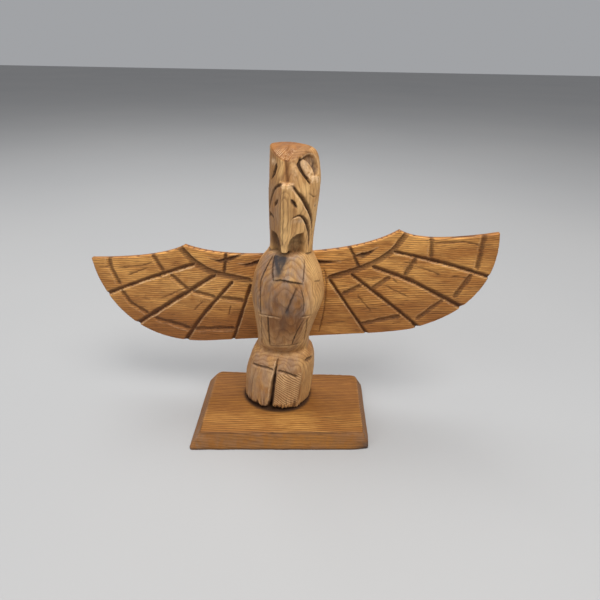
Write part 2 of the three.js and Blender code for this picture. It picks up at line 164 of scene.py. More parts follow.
def smooth_column(table, column, at):
    """Smooth curve through the rows of a table by its first column, with no overshoot."""
    x = np.array([row[0] for row in table], float)
    y = np.array([row[column] for row in table], float)
    rise = np.diff(y) / np.diff(x)
    slope = np.concatenate([rise[:1], np.zeros(len(x) - 2), rise[-1:]])
    for i in range(1, len(x) - 1):
        if rise[i - 1] * rise[i] > 0:
            slope[i] = 2 * rise[i - 1] * rise[i] / (rise[i - 1] + rise[i])
    at = np.clip(at, x[0], x[-1])
    i = np.clip(np.searchsorted(x, at, side="right") - 1, 0, len(x) - 2)
    span = x[i + 1] - x[i]
    t = (at - x[i]) / span
    leave = t * (1 - t) ** 2 * span * slope[i]
    arrive = t * t * (t - 1) * span * slope[i + 1]
    return y[i] + (y[i + 1] - y[i]) * eased(t) + leave + arrive


def pole_turn(z):
    return np.radians(smooth_column(TURNS, 1, z))


def pole_radius(angle, z):
    """Radius of the pole's section at an angle from the bird's middle, positive to the viewer's right."""
    centre_x = smooth_column(SECTIONS, 1, z)
    width = smooth_column(SECTIONS, 2, z)
    at_front = np.cos(angle) > 0
    depth = np.where(at_front, smooth_column(SECTIONS, 3, z), smooth_column(SIDES, 1, z))
    power = np.where(at_front, smooth_column(SECTIONS, 4, z), smooth_column(SIDES, 2, z))
    across = np.abs(np.sin(angle)) / width
    along = np.abs(np.cos(angle)) / depth
    radius = (across**power + along**power) ** (-1 / power)
    on_beak = 1 - smoothstep(np.abs(np.degrees(angle)), BEAK["inner"], BEAK["outer"])
    lower = smoothstep(z, BEAK["from"], BEAK["full"])
    upper = 1 - smoothstep(z, BEAK["to"], BEAK["to"] + BEAK["step"])
    radius = radius + BEAK["raise"] * on_beak * lower * upper
    # the flat back has the wing board's turn
    turn = math.radians(BOARD["yaw"])
    facing = -np.cos(angle - pole_turn(z) - turn)
    flat = (POLE_BACK_Y - POLE_Y + centre_x * math.sin(turn)) / np.maximum(facing, 0.01)
    rounded = (radius**-BACK_SQUARENESS + flat**-BACK_SQUARENESS) ** (-1 / BACK_SQUARENESS)
    return np.where(facing > 0.01, rounded, radius)


def pole_point(angle, z, radius):
    """The place of a point of the pole, given its angle from the bird's middle."""
    direction = angle - pole_turn(z)
    x = smooth_column(SECTIONS, 1, z) + radius * np.sin(direction)
    return np.stack([x, POLE_Y - radius * np.cos(direction), z + 0 * x], -1)


def crown_height(across, ahead):
    fall = np.where(ahead > 0, CROWN["ahead"], CROWN["behind"]) * np.abs(ahead) ** CROWN["power"]
    return CROWN["height"] - fall - CROWN["camber"] * across**2


def crown_edge(angle):
    """Where the side meets the crown, found in a few rounds."""
    z = np.full_like(angle, CROWN["height"])
    for _ in range(12):
        radius = pole_radius(angle, z)
        z = crown_height(radius * np.sin(angle), radius * np.cos(angle))
    return z


def turned(x, y, degrees):
    turn = math.radians(degrees)
    return math.cos(turn) * x - math.sin(turn) * y, math.sin(turn) * x + math.cos(turn) * y


def from_board(across, back, up):
    """Points of the board's own frame in the object's frame."""
    roll = math.radians(BOARD["roll"])
    x = math.cos(roll) * across + math.sin(roll) * up
    z = math.cos(roll) * up - math.sin(roll) * across
    x, y = turned(x, back, BOARD["yaw"])
    return np.stack([x, y, z], -1) + BOARD["at"]


def to_board(points):
    """How far points are across, behind the front and up in the board's own frame."""
    roll = math.radians(BOARD["roll"])
    x, y, z = np.moveaxis(points - np.array(BOARD["at"]), -1, 0)
    x, back = turned(x, y, -BOARD["yaw"])
    return math.cos(roll) * x - math.sin(roll) * z, back, math.sin(roll) * x + math.cos(roll) * z


def spline(path, steps=10):
    """Dense points on a smooth curve through the points of a path."""
    path = np.array(path, float)
    last = len(path) - 1
    dense = []
    for i in range(last):
        before, start, end, after = path[max(i - 1, 0)], path[i], path[i + 1], path[min(i + 2, last)]
        leave, arrive = (end - before) / 2, (after - start) / 2
        t = np.linspace(0, 1, steps, endpoint=False)[:, None]
        cube = (2 * start - 2 * end + leave + arrive) * t**3
        dense.append(cube + (3 * end - 3 * start - 2 * leave - arrive) * t**2 + leave * t + start)
    return np.concatenate([*dense, path[-1:]])


MARKS = ("cut", "lip", "gold", "grey", "soot", "red", "shade", "rings", "end_grain")
BURR = 0.14  # how far the worn rim of a groove stands up
RIM = 0.24  # how wide that rim is


class Relief:
    """Carving on a skin whose points have two coordinates, with how many mm one unit of each is."""

    def __init__(self, across, up, unit, places):
        self.across, self.up = across, up
        self.unit = np.broadcast_to(unit, across.shape)
        self.places = places
        self.height = np.zeros(across.shape)
        self.marks = {name: np.zeros(across.shape) for name in MARKS}

    def noise(self, size, seed):
        return noise(self.places, size, seed)

    def mark(self, name, strength, inside=slice(None)):
        kept = self.marks[name]
        kept[inside] = np.maximum(kept[inside], np.clip(strength, 0, 1))

    def clear(self, names, share):
        for name in names:
            self.marks[name] *= 1 - share

    def cut_to(self, level):
        self.height = np.minimum(self.height, level)

    def near(self, path, reach):
        """The points within reach of a path: their mask, distance to one side of it, and share along it."""
        line = spline(path)
        margin = reach / self.unit
        inside = (self.across > line[:, 0].min() - margin) & (self.across < line[:, 0].max() + margin)
        inside &= (self.up > line[:, 1].min() - reach) & (self.up < line[:, 1].max() + reach)
        unit = self.unit[inside]
        x, y = self.across[inside], self.up[inside]
        best = np.full(x.shape, 1e9)
        side, share = np.zeros(x.shape), np.zeros(x.shape)
        lengths = np.hypot(*((line[1:] - line[:-1]) * (unit.mean() if unit.size else 1, 1)).T)
        runs = np.concatenate([[0], np.cumsum(lengths)])
        for k in range(len(line) - 1):
            way_x, way_y = (line[k + 1, 0] - line[k, 0]) * unit, line[k + 1, 1] - line[k, 1]
            at_x, at_y = (x - line[k, 0]) * unit, y - line[k, 1]
            t = np.clip((at_x * way_x + at_y * way_y) / (way_x**2 + way_y**2 + 1e-12), 0, 1)
            off = np.hypot(at_x - t * way_x, at_y - t * way_y)
            closer = off < best
            best = np.where(closer, off, best)
            side = np.where(closer, np.sign(at_x * way_y - at_y * way_x), side)
            share = np.where(closer, (runs[k] + t * lengths[k]) / runs[-1], share)
        return inside, best * np.where(side == 0, 1, side), share, runs[-1]

    def groove(self, path, wide, deep, lean=0, sizes=(1,), run_out=2, rough=0.1, dark=1, lip=0.6, seed=1):
        """A V cut. Its bottom leans to the right of its way, sizes are its shares of full size along it,
        and its lip is a painted highlight on the raised rim on the side to which it leans."""
        inside, off, share, length = self.near(path, wide + 1.5)
        if not inside.any():
            return
        places = self.places[inside]
        off = off + rough * (noise(places, 1.6, seed) + 0.6 * noise(places, 0.7, seed + 50))
        size = np.interp(share, np.linspace(0, 1, len(sizes)), sizes)
        run = share * length
        ends = np.minimum(smoothstep(run, -0.4, run_out), smoothstep(length - run, -0.4, run_out))
        size = size * (1 + 0.15 * noise(places, 4, seed + 99)) * (0.35 + 0.65 * ends)
        half = wide / 2 * size
        bed = lean * half
        slope = np.where(off > bed, (half - off) / (half - bed), (off + half) / (half + bed))
        share_deep = np.clip(slope, 0, 1)
        # the bottom is a little rounded
        share_deep = share_deep * (1.15 - 0.15 * share_deep)
        self.height[inside] = np.minimum(self.height[inside], -deep * size * share_deep)
        # painted shade in the groove, partly a darker stain in its floor: the wall on the side of the lean is
        # steep and catches the light, so it is shaded only near the bottom
        steep = off * np.sign(lean) > bed * np.sign(lean) if lean else np.zeros(off.shape, bool)
        easy = smoothstep(share_deep, 0.0, 0.3) * (0.78 + 0.22 * smoothstep(share_deep, 0.35, 0.8))
        wall = np.where(steep, smoothstep(share_deep, 0.35, 0.9), easy)
        self.mark("cut", dark * wall * np.minimum(1, size * 1.6), inside)
        # a painted highlight along the raised rim on the side of the lean
        rim = np.exp(-(((off * np.sign(lean) - half - 0.05) / RIM) ** 2)) if lean else 0 * off
        rim = rim * ends * (0.8 + 0.5 * noise(places, 3, seed + 7))
        self.height[inside] += BURR * rim
        self.mark("lip", lip * rim, inside)

    def crack(self, path, wide=0.5, deep=0.35, dark=0.9, seed=1):
        """A hairline, as dark as it is thin."""
        inside, off, share, length = self.near(path, wide + 1)
        if not inside.any():
            return
        places = self.places[inside]
        off = np.abs(off + 0.2 * noise(places, 1.3, seed))
        ends = np.minimum(smoothstep(share * length, 0, 2), smoothstep((1 - share) * length, 0, 2))
        strength = (1 - smoothstep(off, 0, wide)) * ends * (0.8 + 0.2 * noise(places, 2, seed + 3))
        self.height[inside] -= deep * strength
        self.mark("cut", dark * strength, inside)

    def inside_of(self, outline, soft=0.4):
        """How far inside a convex outline each point is, from 0 to 1 over a soft edge."""
        corners = np.array(outline, float)
        middle = corners.mean(0)
        least = np.full(self.across.shape, 1e9)
        for a, b in zip(corners, np.roll(corners, -1, 0)):
            way_x, way_y = (b[0] - a[0]) * self.unit, b[1] - a[1]
            length = np.hypot(way_x, way_y)
            off = ((self.across - a[0]) * self.unit * way_y - (self.up - a[1]) * way_x) / length
            turn = (middle[0] - a[0]) * (b[1] - a[1]) - (middle[1] - a[1]) * (b[0] - a[0])
            least = np.minimum(least, off * np.sign(turn))
        return smoothstep(least, -soft, soft)

    def oval(self, middle, size, power=2, tilt=0):
        """0 at the middle and 1 on the rim of an oval with its half sizes in mm, turned by tilt degrees."""
        x, y = turned((self.across - middle[0]) * self.unit, self.up - middle[1], -tilt)
        return (np.abs(x / size[0]) ** power + np.abs(y / size[1]) ** power) ** (1 / power)

    def blob(self, middle, size, power=2):
        """A soft spot, 1 in the middle."""
        return np.exp(-(self.oval(middle, size, power) ** power))


def make_mesh(name, points, faces, marks):
    mesh = bpy.data.meshes.new(name)
    mesh.from_pydata((points * MM).tolist(), [], faces)
    mesh.validate()
    for mark, values in marks.items():
        attribute = mesh.attributes.new(mark, "FLOAT", "POINT")
        attribute.data.foreach_set("value", values.astype(np.float32))
    mesh.polygons.foreach_set("use_smooth", [True] * len(mesh.polygons))
    mesh.update()
    piece = bpy.data.objects.new(name, mesh)
    bpy.context.scene.collection.objects.link(piece)
    return piece


def grid_faces(rows, columns, closed=False):
    """Quads between rows of points: a row runs anticlockwise from above, and the rows go up."""
    across = np.arange(columns if closed else columns - 1)
    row, column = np.meshgrid(np.arange(rows - 1), across, indexing="ij")
    after = (column + 1) % columns
    low, high = row * columns, (row + 1) * columns
    return np.stack([low + column, low + after, high + after, high + column], -1).reshape(-1, 4).tolist()


def closed_faces(rows, columns):
    """A tube of rings with a fan over each end: the two ends' middles come after the rings' points."""
    faces = grid_faces(rows, columns, closed=True)
    low = rows * columns
    for i in range(columns):
        after = (i + 1) % columns
        faces.append([low, after, i])
        faces.append([low + 1, low - columns + i, low - columns + after])
    return faces


# The pole
POLE_ROWS = {"feet": 84, "body": 124, "head": 124, "top": 34, "crown": 22}
FINE_SIDE = 105  # degrees from the middle up to which the columns stand close
FINE_COLUMNS = 184
BACK_COLUMNS = 50
SOFTENING_ROUNDS = 24
SKIN = 0.01  # the dressed pole stays this far inside the solid one

FACE_CUTS = [
    dict(
        path=[(83, 97), (76, 105.5), (60, 112.8), (40, 118.6), (24, 122), (13, 125)],
        wide=2.3,
        deep=1.5,
        lean=-0.3,
        sizes=(0.25, 0.35, 0.7, 1.1, 0.95, 0.5),
        lip=1,
    ),
    dict(
        path=[(13, 110.6), (20, 111.6), (33, 111.9), (46, 110), (57, 106.8), (66, 102.5), (71, 96)],
        wide=1.9,
        deep=1.3,
        lean=0.3,
        sizes=(0.4, 0.7, 1, 1.1, 1, 0.9, 0.6),
        lip=0.9,
    ),
    dict(path=[(12, 119.5), (25, 115.4)], wide=1.7, deep=1.4, run_out=1, sizes=(0.8, 1.1, 0.6)),
]
# The far side of the face is cut more thinly
LEFT_FACE_CUTS = [
    dict(path=[(-6, 125.4), (-30, 122.8), (-45, 117.7), (-62, 112.3)], wide=1.6, deep=1.1, dark=0.8),
    dict(
        path=[(-26, 108.9), (-37, 110.4), (-56, 110.6), (-66, 108)],
        wide=1.8,
        deep=1.2,
        sizes=(0.3, 0.7, 1, 1),
    ),
    dict(path=[(-16, 118.6), (-28, 115.4)], wide=1.8, deep=1.2, run_out=1, dark=0.8),
    dict(
        path=[(-33, 132.2), (-38.5, 129.4), (-54, 125.4)],
        wide=2.2,
        deep=1.4,
        sizes=(0.9, 1.1, 0.4),
        run_out=0.8,
    ),
]
BODY_CUTS = [
    dict(path=[(-30, 93), (-40, 82), (-38, 71), (-38.5, 64)], wide=0.9, deep=0.6),
    dict(path=[(-26, 93.5), (-15.5, 82.6)], wide=0.9, deep=0.7),
    dict(path=[(50, 91.5), (37, 82)], wide=0.8, deep=0.7, dark=0.8),
    dict(path=[(-49, 63.5), (-25, 64.8), (0, 65)], wide=0.8, deep=0.5, dark=0.45, lean=0.2, lip=0.7),
    dict(path=[(33, 65.5), (55, 64.5)], wide=0.8, deep=0.5, dark=0.5, lean=0.2, lip=0.6),
    dict(path=[(-37, 63), (-45, 46)], wide=0.7, deep=0.5, dark=0.8),
    dict(path=[(-24, 64.6), (-22.7, 54.4), (-21.5, 46.4)], wide=1, deep=0.7),
    dict(path=[(41, 63), (33.3, 55.6), (29.6, 48.1)], wide=0.8, deep=0.7),
    dict(path=[(46.8, 63.9), (60, 48.5)], wide=0.8, deep=0.6, dark=0.8),
    dict(path=[(-22, 46.5), (10, 47.3), (31, 47.8), (54, 48)], wide=0.7, deep=0.4, dark=0.6),
    dict(path=[(33.4, 79.8), (37, 74), (37, 67)], wide=0.8, deep=0.5, dark=0.8),
    dict(path=[(60.8, 81.2), (80, 79.4)], wide=0.8, deep=0.5, dark=0.7),
    dict(path=[(-56, 32.3), (-30, 33.6), (-7, 33.3)], wide=1.9, deep=1.2, lean=0.35, dark=0.75, run_out=1),
    dict(path=[(4, 33.2), (26, 31.9), (46, 29.3)], wide=1.9, deep=1.2, lean=0.35, dark=0.75, run_out=1),
    dict(path=[(62, 36.9), (86, 35.6)], wide=2.4, deep=1.3, dark=0.8),
    dict(path=[(-95, 93.4), (-50, 93.3)], wide=1, deep=0.5, dark=0.8),
    dict(path=[(56, 93.5), (95, 92)], wide=1, deep=0.5, dark=0.8),
]
FOOT_SLOT = dict(
    path=[(-0.8, 38.4), (-1.9, 33.6), (-1, 26), (-0.6, 18), (-1, 6)],
    wide=3.4,
    deep=4.6,
    lean=0.15,
    sizes=(0.3, 0.7, 1, 0.95, 0.9),
    run_out=0.5,
    rough=0.2,
    lip=1,
    seed=43,
)
BREAST_FOOT = [(-16.5, 82.7), (-4, 83.1), (15, 82.7), (26.6, 82.1), (38.5, 81.3)]
SLANTING_CRACK = [(29.2, 80.6), (19.5, 75.9), (13.5, 71.8), (7.3, 66.6)]
THROAT = [(6.5, 93), (7.5, 98.5), (14, 101.6), (27, 103.3), (46, 103.6), (52.5, 99), (56.5, 93)]
# The band down the front of the beak, in degrees, and its rounded tip over the chest, in mm
RIDGE = {"left": -5.8, "right": 6.8, "bevel": 0.8, "drop": 0.55, "foot": 22, "rounds_from": 99, "tip": 95.3}
CHEST_TOP = 93.3
BEAK_CRACKS = [
    dict(path=[(-1.7, 124), (-0.4, 112.4), (-2, 103), (-3, 97.5)], wide=0.6, deep=0.35, dark=0.75, seed=31),
    dict(path=[(-5.8, 122), (-6.3, 104)], wide=0.5, deep=0.25, dark=0.7, seed=38),
    dict(path=[(6.8, 122), (8, 104)], wide=0.4, deep=0.2, dark=0.5, seed=39),
]
CHEEK_CRACK = [(52, 121.7), (62, 119.9), (70, 119.2), (82, 118.9)]
TOE_CRACKS = [[(57, 36), (54, 28), (55, 14)], [(-44, 32), (-46, 20), (-44, 11)]]
KNOTS = [((8, 75), (3.6, 5), 2.2), ((29.8, 73.7), (2.2, 3.6), 1.6)]  # middle, half sizes in mm, rings
LOG_HEART = (6, 52)  # the middle of the growth rings lies behind the pole

# The parts of the right eye. Tilts are in degrees.
SOCKET = {"middle": (63, 131.5), "size": (4.4, 4.3), "power": 2.6, "tilt": 20}
SOCKET_RIM = {**SOCKET, "size": (4.9, 4.8)}
EYEBALL = {"middle": (54.5, 130.6), "size": (2.2, 4.3), "power": 2.5, "tilt": 31}
CHIP = {"middle": (71, 126.3), "size": (3.3, 1.5), "power": 2.4, "tilt": -6}
EYE_WEDGE = [(25, 132.7), (37, 135.2), (56, 131), (57, 124.4), (53.5, 125.1), (41.5, 127.7), (31, 130.3)]

# Pale spots on the head: middle, half sizes in mm, squareness, and how strong each mark is. The last one is
# part of the painted highlight on the ledge over the beak
HEAD_SPOTS = [
    ((-48, 132.8), (2, 1.2), 2.4, {"grey": 0.9, "lip": 0.8}),
    ((19, 130.5), (1.4, 4), 2, {"lip": 0.5}),
    ((28, 109.7), (3.2, 0.9), 2.4, {"grey": 0.8, "lip": 0.4}),
    ((13, 124.6), (1.2, 1.2), 2, {"grey": 0.8}),
]
# Stretches of tone: strength, then from, to and softness in mm of height and in degrees
STRETCHES = {
    "right cheek": (1, (98, 127, 4), (8, 95, 8)),
    "left brow": (0.7, (126, 136, 3), (-34, -8, 6)),
    "right temple": (0.8, (134.5, 141, 1.5), (16, 75, 6)),
    "left of the head": (0.6, (96, 138, 3), (-75, -20, 8)),
    "left of the face": (0.55, (96, 124, 3), (-80, -8, 4)),
    "over the beak": (1, (123.9, 125.7, 0.3), (-9, 16, 3)),
    "worn chest": (1.3, (66, 95, 3), (-60, 45, 12)),
    "worn middle": (0.4, (41, 66, 2), (-60, 45, 8)),
    "worn feet": (0.7, (9, 40, 2), (-60, 50, 8)),
    "right side": (0.6, (45, 92, 3), (45, 110, 8)),
    "right foot": (0.6, (9, 37, 2), (58, 92, 3)),
    "belly": (1, (41, 66, 2), (-24, 44, 4)),
    "breast": (0.8, (66, 82, 3), (-36, 36, 6)),
    "left of the breast": (0.6, (66, 93, 3), (-75, -18, 6)),
    "breast panel": (0.15, (82.5, 93, 0.6), (-15, 37, 2)),
    "lower half": (0.45, (9, 66, 2), (-400, 400, 1)),
    "left of the lower half": (0.4, (9, 66, 2), (-80, -20, 8)),
    "left toe": (0.6, (9, 32, 1), (-60, -4, 2)),
    "toes": (1, (8, 31.5, 1), (-62, 57, 2)),
    "edge of the thighs": (0.1, (39.6, 40.4, 0.3), (-50, 70, 5)),
    "side of the right foot": (1, (9, 36, 1), (55, 90, 1)),
}
# Stains on the body: strength, middle, half sizes in mm, squareness
INK = [(1.9, (-7.5, 92.4), (3, 3), 2.4), (1.3, (-7, 88), (1.9, 4.6), 2.4)]


def stretch(relief, *names):
    """How strongly each point lies in some of the pole's stretches of tone."""
    total = 0
    for name in names:
        strength, heights, degrees = STRETCHES[name]
        total = total + strength * band(relief.up, *heights) * band(relief.across, *degrees)
    return total


def on_head(relief):
    """1 above the neck and 0 below it."""
    return smoothstep(relief.up, 93, 95)


def pole_grid():
    """Angles and heights of the grid's points. Its rows follow the two walls of the notch for the board."""
    fine = np.linspace(-FINE_SIDE, FINE_SIDE, FINE_COLUMNS)
    rest = np.linspace(FINE_SIDE, 360 - FINE_SIDE, BACK_COLUMNS + 2)[1:-1]
    angle = np.radians(np.concatenate([fine, rest]))
    walls = []
    for wall in (ROOT["bottom"] - NOTCH_SLACK, ROOT["top"] + NOTCH_SLACK):
        level = np.full_like(angle, BOARD["at"][2] + wall)
        for _ in range(4):
            up = to_board(pole_point(angle, level, pole_radius(angle, level)))[2]
            level = level + (wall - up)
        walls.append(level)
    ahead = np.maximum(np.cos(angle), 0)
    hem = SOLE["z"] + SOLE["foot"] + SOLE["lift"] * ahead
    edge = crown_edge(angle)
    levels = [hem, walls[0], walls[1], np.full_like(angle, CROWN_FROM), edge]
    counts = [POLE_ROWS[name] for name in ("feet", "body", "head", "top")]
    rows = []
    for low, high, count in zip(levels, levels[1:], counts):
        for k in range(count):
            rows.append(low + (high - low) * k / count)
    rows.append(edge)
    heights = np.array(rows)
    in_notch = np.zeros(heights.shape, bool)
    in_notch[counts[0] + 1 : counts[0] + counts[1]] = True
    # a wall of the notch is two rows at nearly one height
    heights[counts[0] + 1] = walls[0] + 0.06
    heights[counts[0] + counts[1] - 1] = walls[1] - 0.06
    return np.broadcast_to(angle, heights.shape), heights, in_notch


def mirrored(path, side):
    """A path as it is on one side of the middle, 1 or -1."""
    return [(across * side, up) for across, up in path]


def carve_beak(relief):
    """The beak's ridge is a flat band with crisp edges, and its tip is rounded and clear of the chest."""
    degrees, z = relief.across, relief.up
    full = BEAK["raise"] * (1 - smoothstep(np.abs(degrees), BEAK["inner"], BEAK["outer"]))
    middle = (RIDGE["left"] + RIDGE["right"]) / 2
    half = (RIDGE["right"] - RIDGE["left"]) / 2
    tip, rounds_from = RIDGE["tip"], RIDGE["rounds_from"]
    narrowing = ((rounds_from - np.minimum(z, rounds_from)) / (rounds_from - tip)) ** 2
    beyond = np.abs(degrees - middle) - half * (0.45 + 0.55 * np.sqrt(np.clip(1 - narrowing, 0, 1)))
    bevel = BEAK["raise"] - RIDGE["drop"] * beyond / RIDGE["bevel"]
    flank = (BEAK["raise"] - RIDGE["drop"]) * (1 - np.clip(beyond / (RIDGE["foot"] - half), 0, 1))
    wanted = np.select([beyond < 0, beyond < RIDGE["bevel"]], [BEAK["raise"], bevel], flank)
    on_beak = band(z, BEAK["full"] - 1, BEAK["to"], 0.4)
    relief.height += (np.minimum(wanted, full + 0.6) - full) * on_beak
    # painted shadow in the gap cut back under the tip
    under = (1 - smoothstep(z, tip - 0.25, tip + 0.25)) * smoothstep(z, CHEST_TOP, CHEST_TOP + 0.4)
    under = under * (1 - smoothstep(np.abs(degrees), 9, 13))
    relief.cut_to(np.where(under > 0, -3.6 * under, np.inf))
    relief.mark("cut", 0.9 * under)
    # painted light on the beak: gold on the ridge and its right flank, painted shade on its left flank
    relief.mark("gold", 0.9 * band(degrees, RIDGE["left"], 14, 2) * on_beak)
    relief.mark("shade", 0.45 * band(degrees, -24, RIDGE["left"] - 0.5, 2) * on_beak)
    relief.marks["end_grain"] -= 0.55 * band(degrees, RIDGE["left"] - 2, RIDGE["right"] + 3, 2) * on_beak
    for crack in BEAK_CRACKS:
        relief.crack(**crack)


def carve_throat(relief):
    """A recess with a flat floor on each side of the beak's tip, shut off below by the chest, with painted
    shade on its floor.
    """
    for side in (1, -1):
        throat = relief.inside_of(mirrored(THROAT, side), 0.3)
        throat = throat * smoothstep(relief.up, CHEST_TOP + 0.05, CHEST_TOP + 0.5)
        relief.cut_to(throat * (0.2 * relief.noise(1.6, 5) - 2.8))
        relief.mark("cut", throat * (0.68 + 0.15 * relief.noise(1.1, 12)))
        relief.clear(["lip"], throat)


def carve_eye(relief):
    """The right eye: a long eyeball left standing in a scooped socket, with a broken chip behind it."""
    head = on_head(relief)
    grain = relief.noise(0.9, 33)
    socket = (1 - smoothstep(relief.oval(**SOCKET), 0.86, 1.08)) * head
    relief.cut_to(socket * (0.2 * grain - 2))
    relief.mark("grey", socket)
    darker = smoothstep(relief.across, 58, 72) * (1 - smoothstep(relief.up, 130, 134))
    relief.mark("cut", socket * (0.48 + 0.35 * darker + 0.5 * grain))
    wedge = relief.inside_of(EYE_WEDGE, 0.2) * head
    relief.cut_to(-1.6 * wedge)
    relief.mark("cut", wedge)

    off = relief.oval(**EYEBALL)
    on_ball = 1 - smoothstep(off, 0.93, 1.03)
    dome = -0.85 + 0.8 * np.sqrt(np.clip(1 - off**2, 0, 1))
    relief.height = relief.height * (1 - on_ball) + dome * on_ball
    relief.clear(["grey", "cut", "lip"], on_ball)
    shadow = (1 - smoothstep(off, 1.05, 1.25)) * (1 - on_ball) * head * smoothstep(relief.up, 127.5, 129)
    relief.mark("cut", 0.95 * shadow)
    # painted highlight on the eyeball, brightest towards its low end
    low_end = 1 - smoothstep(relief.up, 128, 132)
    relief.mark("lip", on_ball * (0.5 + 0.45 * low_end + 0.5 * relief.noise(1.1, 37)))
    relief.mark("grey", 1.4 * on_ball * relief.blob((44, 133.2), (2.2, 2.2)))

    chip = (1 - smoothstep(relief.oval(**CHIP), 0.85, 1.05)) * head
    relief.height = relief.height * (1 - chip) + (0.25 + 0.2 * grain) * chip
    relief.clear(["grey", "cut"], chip)
    relief.mark("lip", chip * (1 + 0.5 * grain))
    # painted highlight along the socket's upper rim
    rim = (1 - smoothstep(np.abs(relief.oval(**SOCKET_RIM) - 1), 0.03, 0.1)) * head
    relief.mark("lip", 0.4 * rim * smoothstep(relief.up, 127, 130) * (1 - on_ball))


def carve_brow(relief):
    """The furrow of the brow is widest under the crown, and steepest on its left, where its painted shade is
    darkest.
    """
    degrees, z = relief.across, relief.up
    share = np.clip((z - 125.8) / 9, 0, 1.3)
    left, right = -1.5 - 5 * share, 6.5 + 8.5 * share
    furrow = smoothstep(degrees, left - 1, left + 2) * (1 - smoothstep(degrees, left + 3, right + 2))
    furrow = furrow * band(z, 125.9, 137, 0.4)
    relief.cut_to(-1.1 * furrow)
    deepest = smoothstep(degrees, left - 1, left + 1) * (1 - 0.7 * smoothstep(degrees, left + 2, left + 7))
    relief.mark("cut", 0.4 * furrow * deepest)
    relief.mark("shade", furrow)


def carve_head(relief):
    head = on_head(relief)
    carve_beak(relief)
    for i, cut in enumerate(FACE_CUTS + LEFT_FACE_CUTS):
        relief.groove(**cut, seed=11 + i * 3)
    carve_throat(relief)
    carve_eye(relief)
    carve_brow(relief)
    relief.crack(CHEEK_CRACK, 0.45, 0.4, 0.9, 32)
    hole = relief.blob((79, 114.7), (0.55, 0.55))
    relief.height -= 0.5 * hole
    relief.mark("cut", hole)
    relief.mark("lip", 0.7 * relief.blob((79, 115.2), (1.1, 0.9)) * (1 - hole))
    for middle, size, power, marks in HEAD_SPOTS:
        for name, strength in marks.items():
            relief.mark(name, strength * relief.blob(middle, size, power) * head)
    # painted highlight on the ledge at the upper end of the beak, split by a darker gap
    cere_highlight = stretch(relief, "over the beak") * (0.8 + 0.6 * relief.noise(1.3, 35))
    relief.mark("lip", cere_highlight * (1 - 0.8 * band(relief.across, 0.5, 4.5, 0.8)))
    # the tone wanders from yellowish to brown
    tone = relief.noise((5, 5, 8), 36) - 0.5 * smoothstep(relief.across, 10, 50)
    relief.mark("shade", 0.5 * smoothstep(tone, 0, 0.7) * head)
    relief.mark("shade", stretch(relief, "left of the head"))
    relief.mark("shade", stretch(relief, "right temple"))
    glow = stretch(relief, "right cheek", "left brow")
    relief.mark("gold", glow * (0.75 + 0.6 * relief.noise((3, 3, 5), 40)))
    relief.mark("grey", stretch(relief, "left of the face"))


def carve_feet(relief):
    degrees, z = relief.across, relief.up
    # a ledge where the thighs come out from under the belly
    ledge = smoothstep(z, 40.3, 40.8) * (1 - smoothstep(z, 41, 47)) * band(degrees, -52, 75, 6)
    relief.height -= 1.1 * ledge
    relief.mark("shade", 0.7 * ledge)
    # a painted highlight along the ledge's edge
    relief.mark("lip", stretch(relief, "edge of the thighs"))
    relief.groove(**FOOT_SLOT)
    # the flat side of the right foot lies this far from the pole's axis
    flat = 16.3 / np.cos(np.radians(degrees - 71))
    on_side = stretch(relief, "side of the right foot") > 0.5
    relief.cut_to(np.where(on_side, flat - relief.unit * 180 / math.pi, np.inf))
    for i, path in enumerate(TOE_CRACKS):
        relief.crack(path, 0.6, 0.3, 0.5, 45 + i)
    # the fibres of the toes are torn at the hem, with painted shade between them and a painted highlight on
    # the raised ones
    toes = stretch(relief, "toes")
    torn = relief.noise((0.55, 0.55, 9), 8)
    low = 1 - smoothstep(z, 10, 19)
    relief.height += toes * torn * (0.06 + 0.3 * low) * (1 - 0.8 * right_toe(relief) * (1 - low))
    relief.mark("cut", toes * low * smoothstep(-torn, 0.12, 0.5))
    relief.mark("lip", toes * low * 0.8 * smoothstep(torn, 0.3, 0.6))
    relief.mark("end_grain", right_toe(relief) * smoothstep(z, 12, 14))
    # the left toe is worn almost plain
    relief.marks["end_grain"] -= stretch(relief, "left toe")
    # painted shadow along the front of the feet's hem, over the gap under the toes
    hem = 1 - smoothstep(z - z[0], 0.1, 0.9)
    relief.mark("cut", 0.7 * hem * smoothstep(np.cos(np.radians(degrees)), 0.2, 0.6))


def carve_breast(relief):
    """The breast panel stands proud of what is under it."""
    inside, off, _, _ = relief.near(BREAST_FOOT, 6)
    step = np.zeros(relief.up.shape)
    step[inside] = np.where(off > 0, 1 - smoothstep(off, 0.3, 5), 0)
    relief.height -= 0.8 * step * band(relief.across, -16, 38, 2)
    relief.groove(BREAST_FOOT, 1.2, 1.1, sizes=(0.6, 0.8, 1.1, 1.1, 0.6), rough=0.12, seed=41)
    relief.crack(SLANTING_CRACK, 0.75, 0.8, 1, 42)


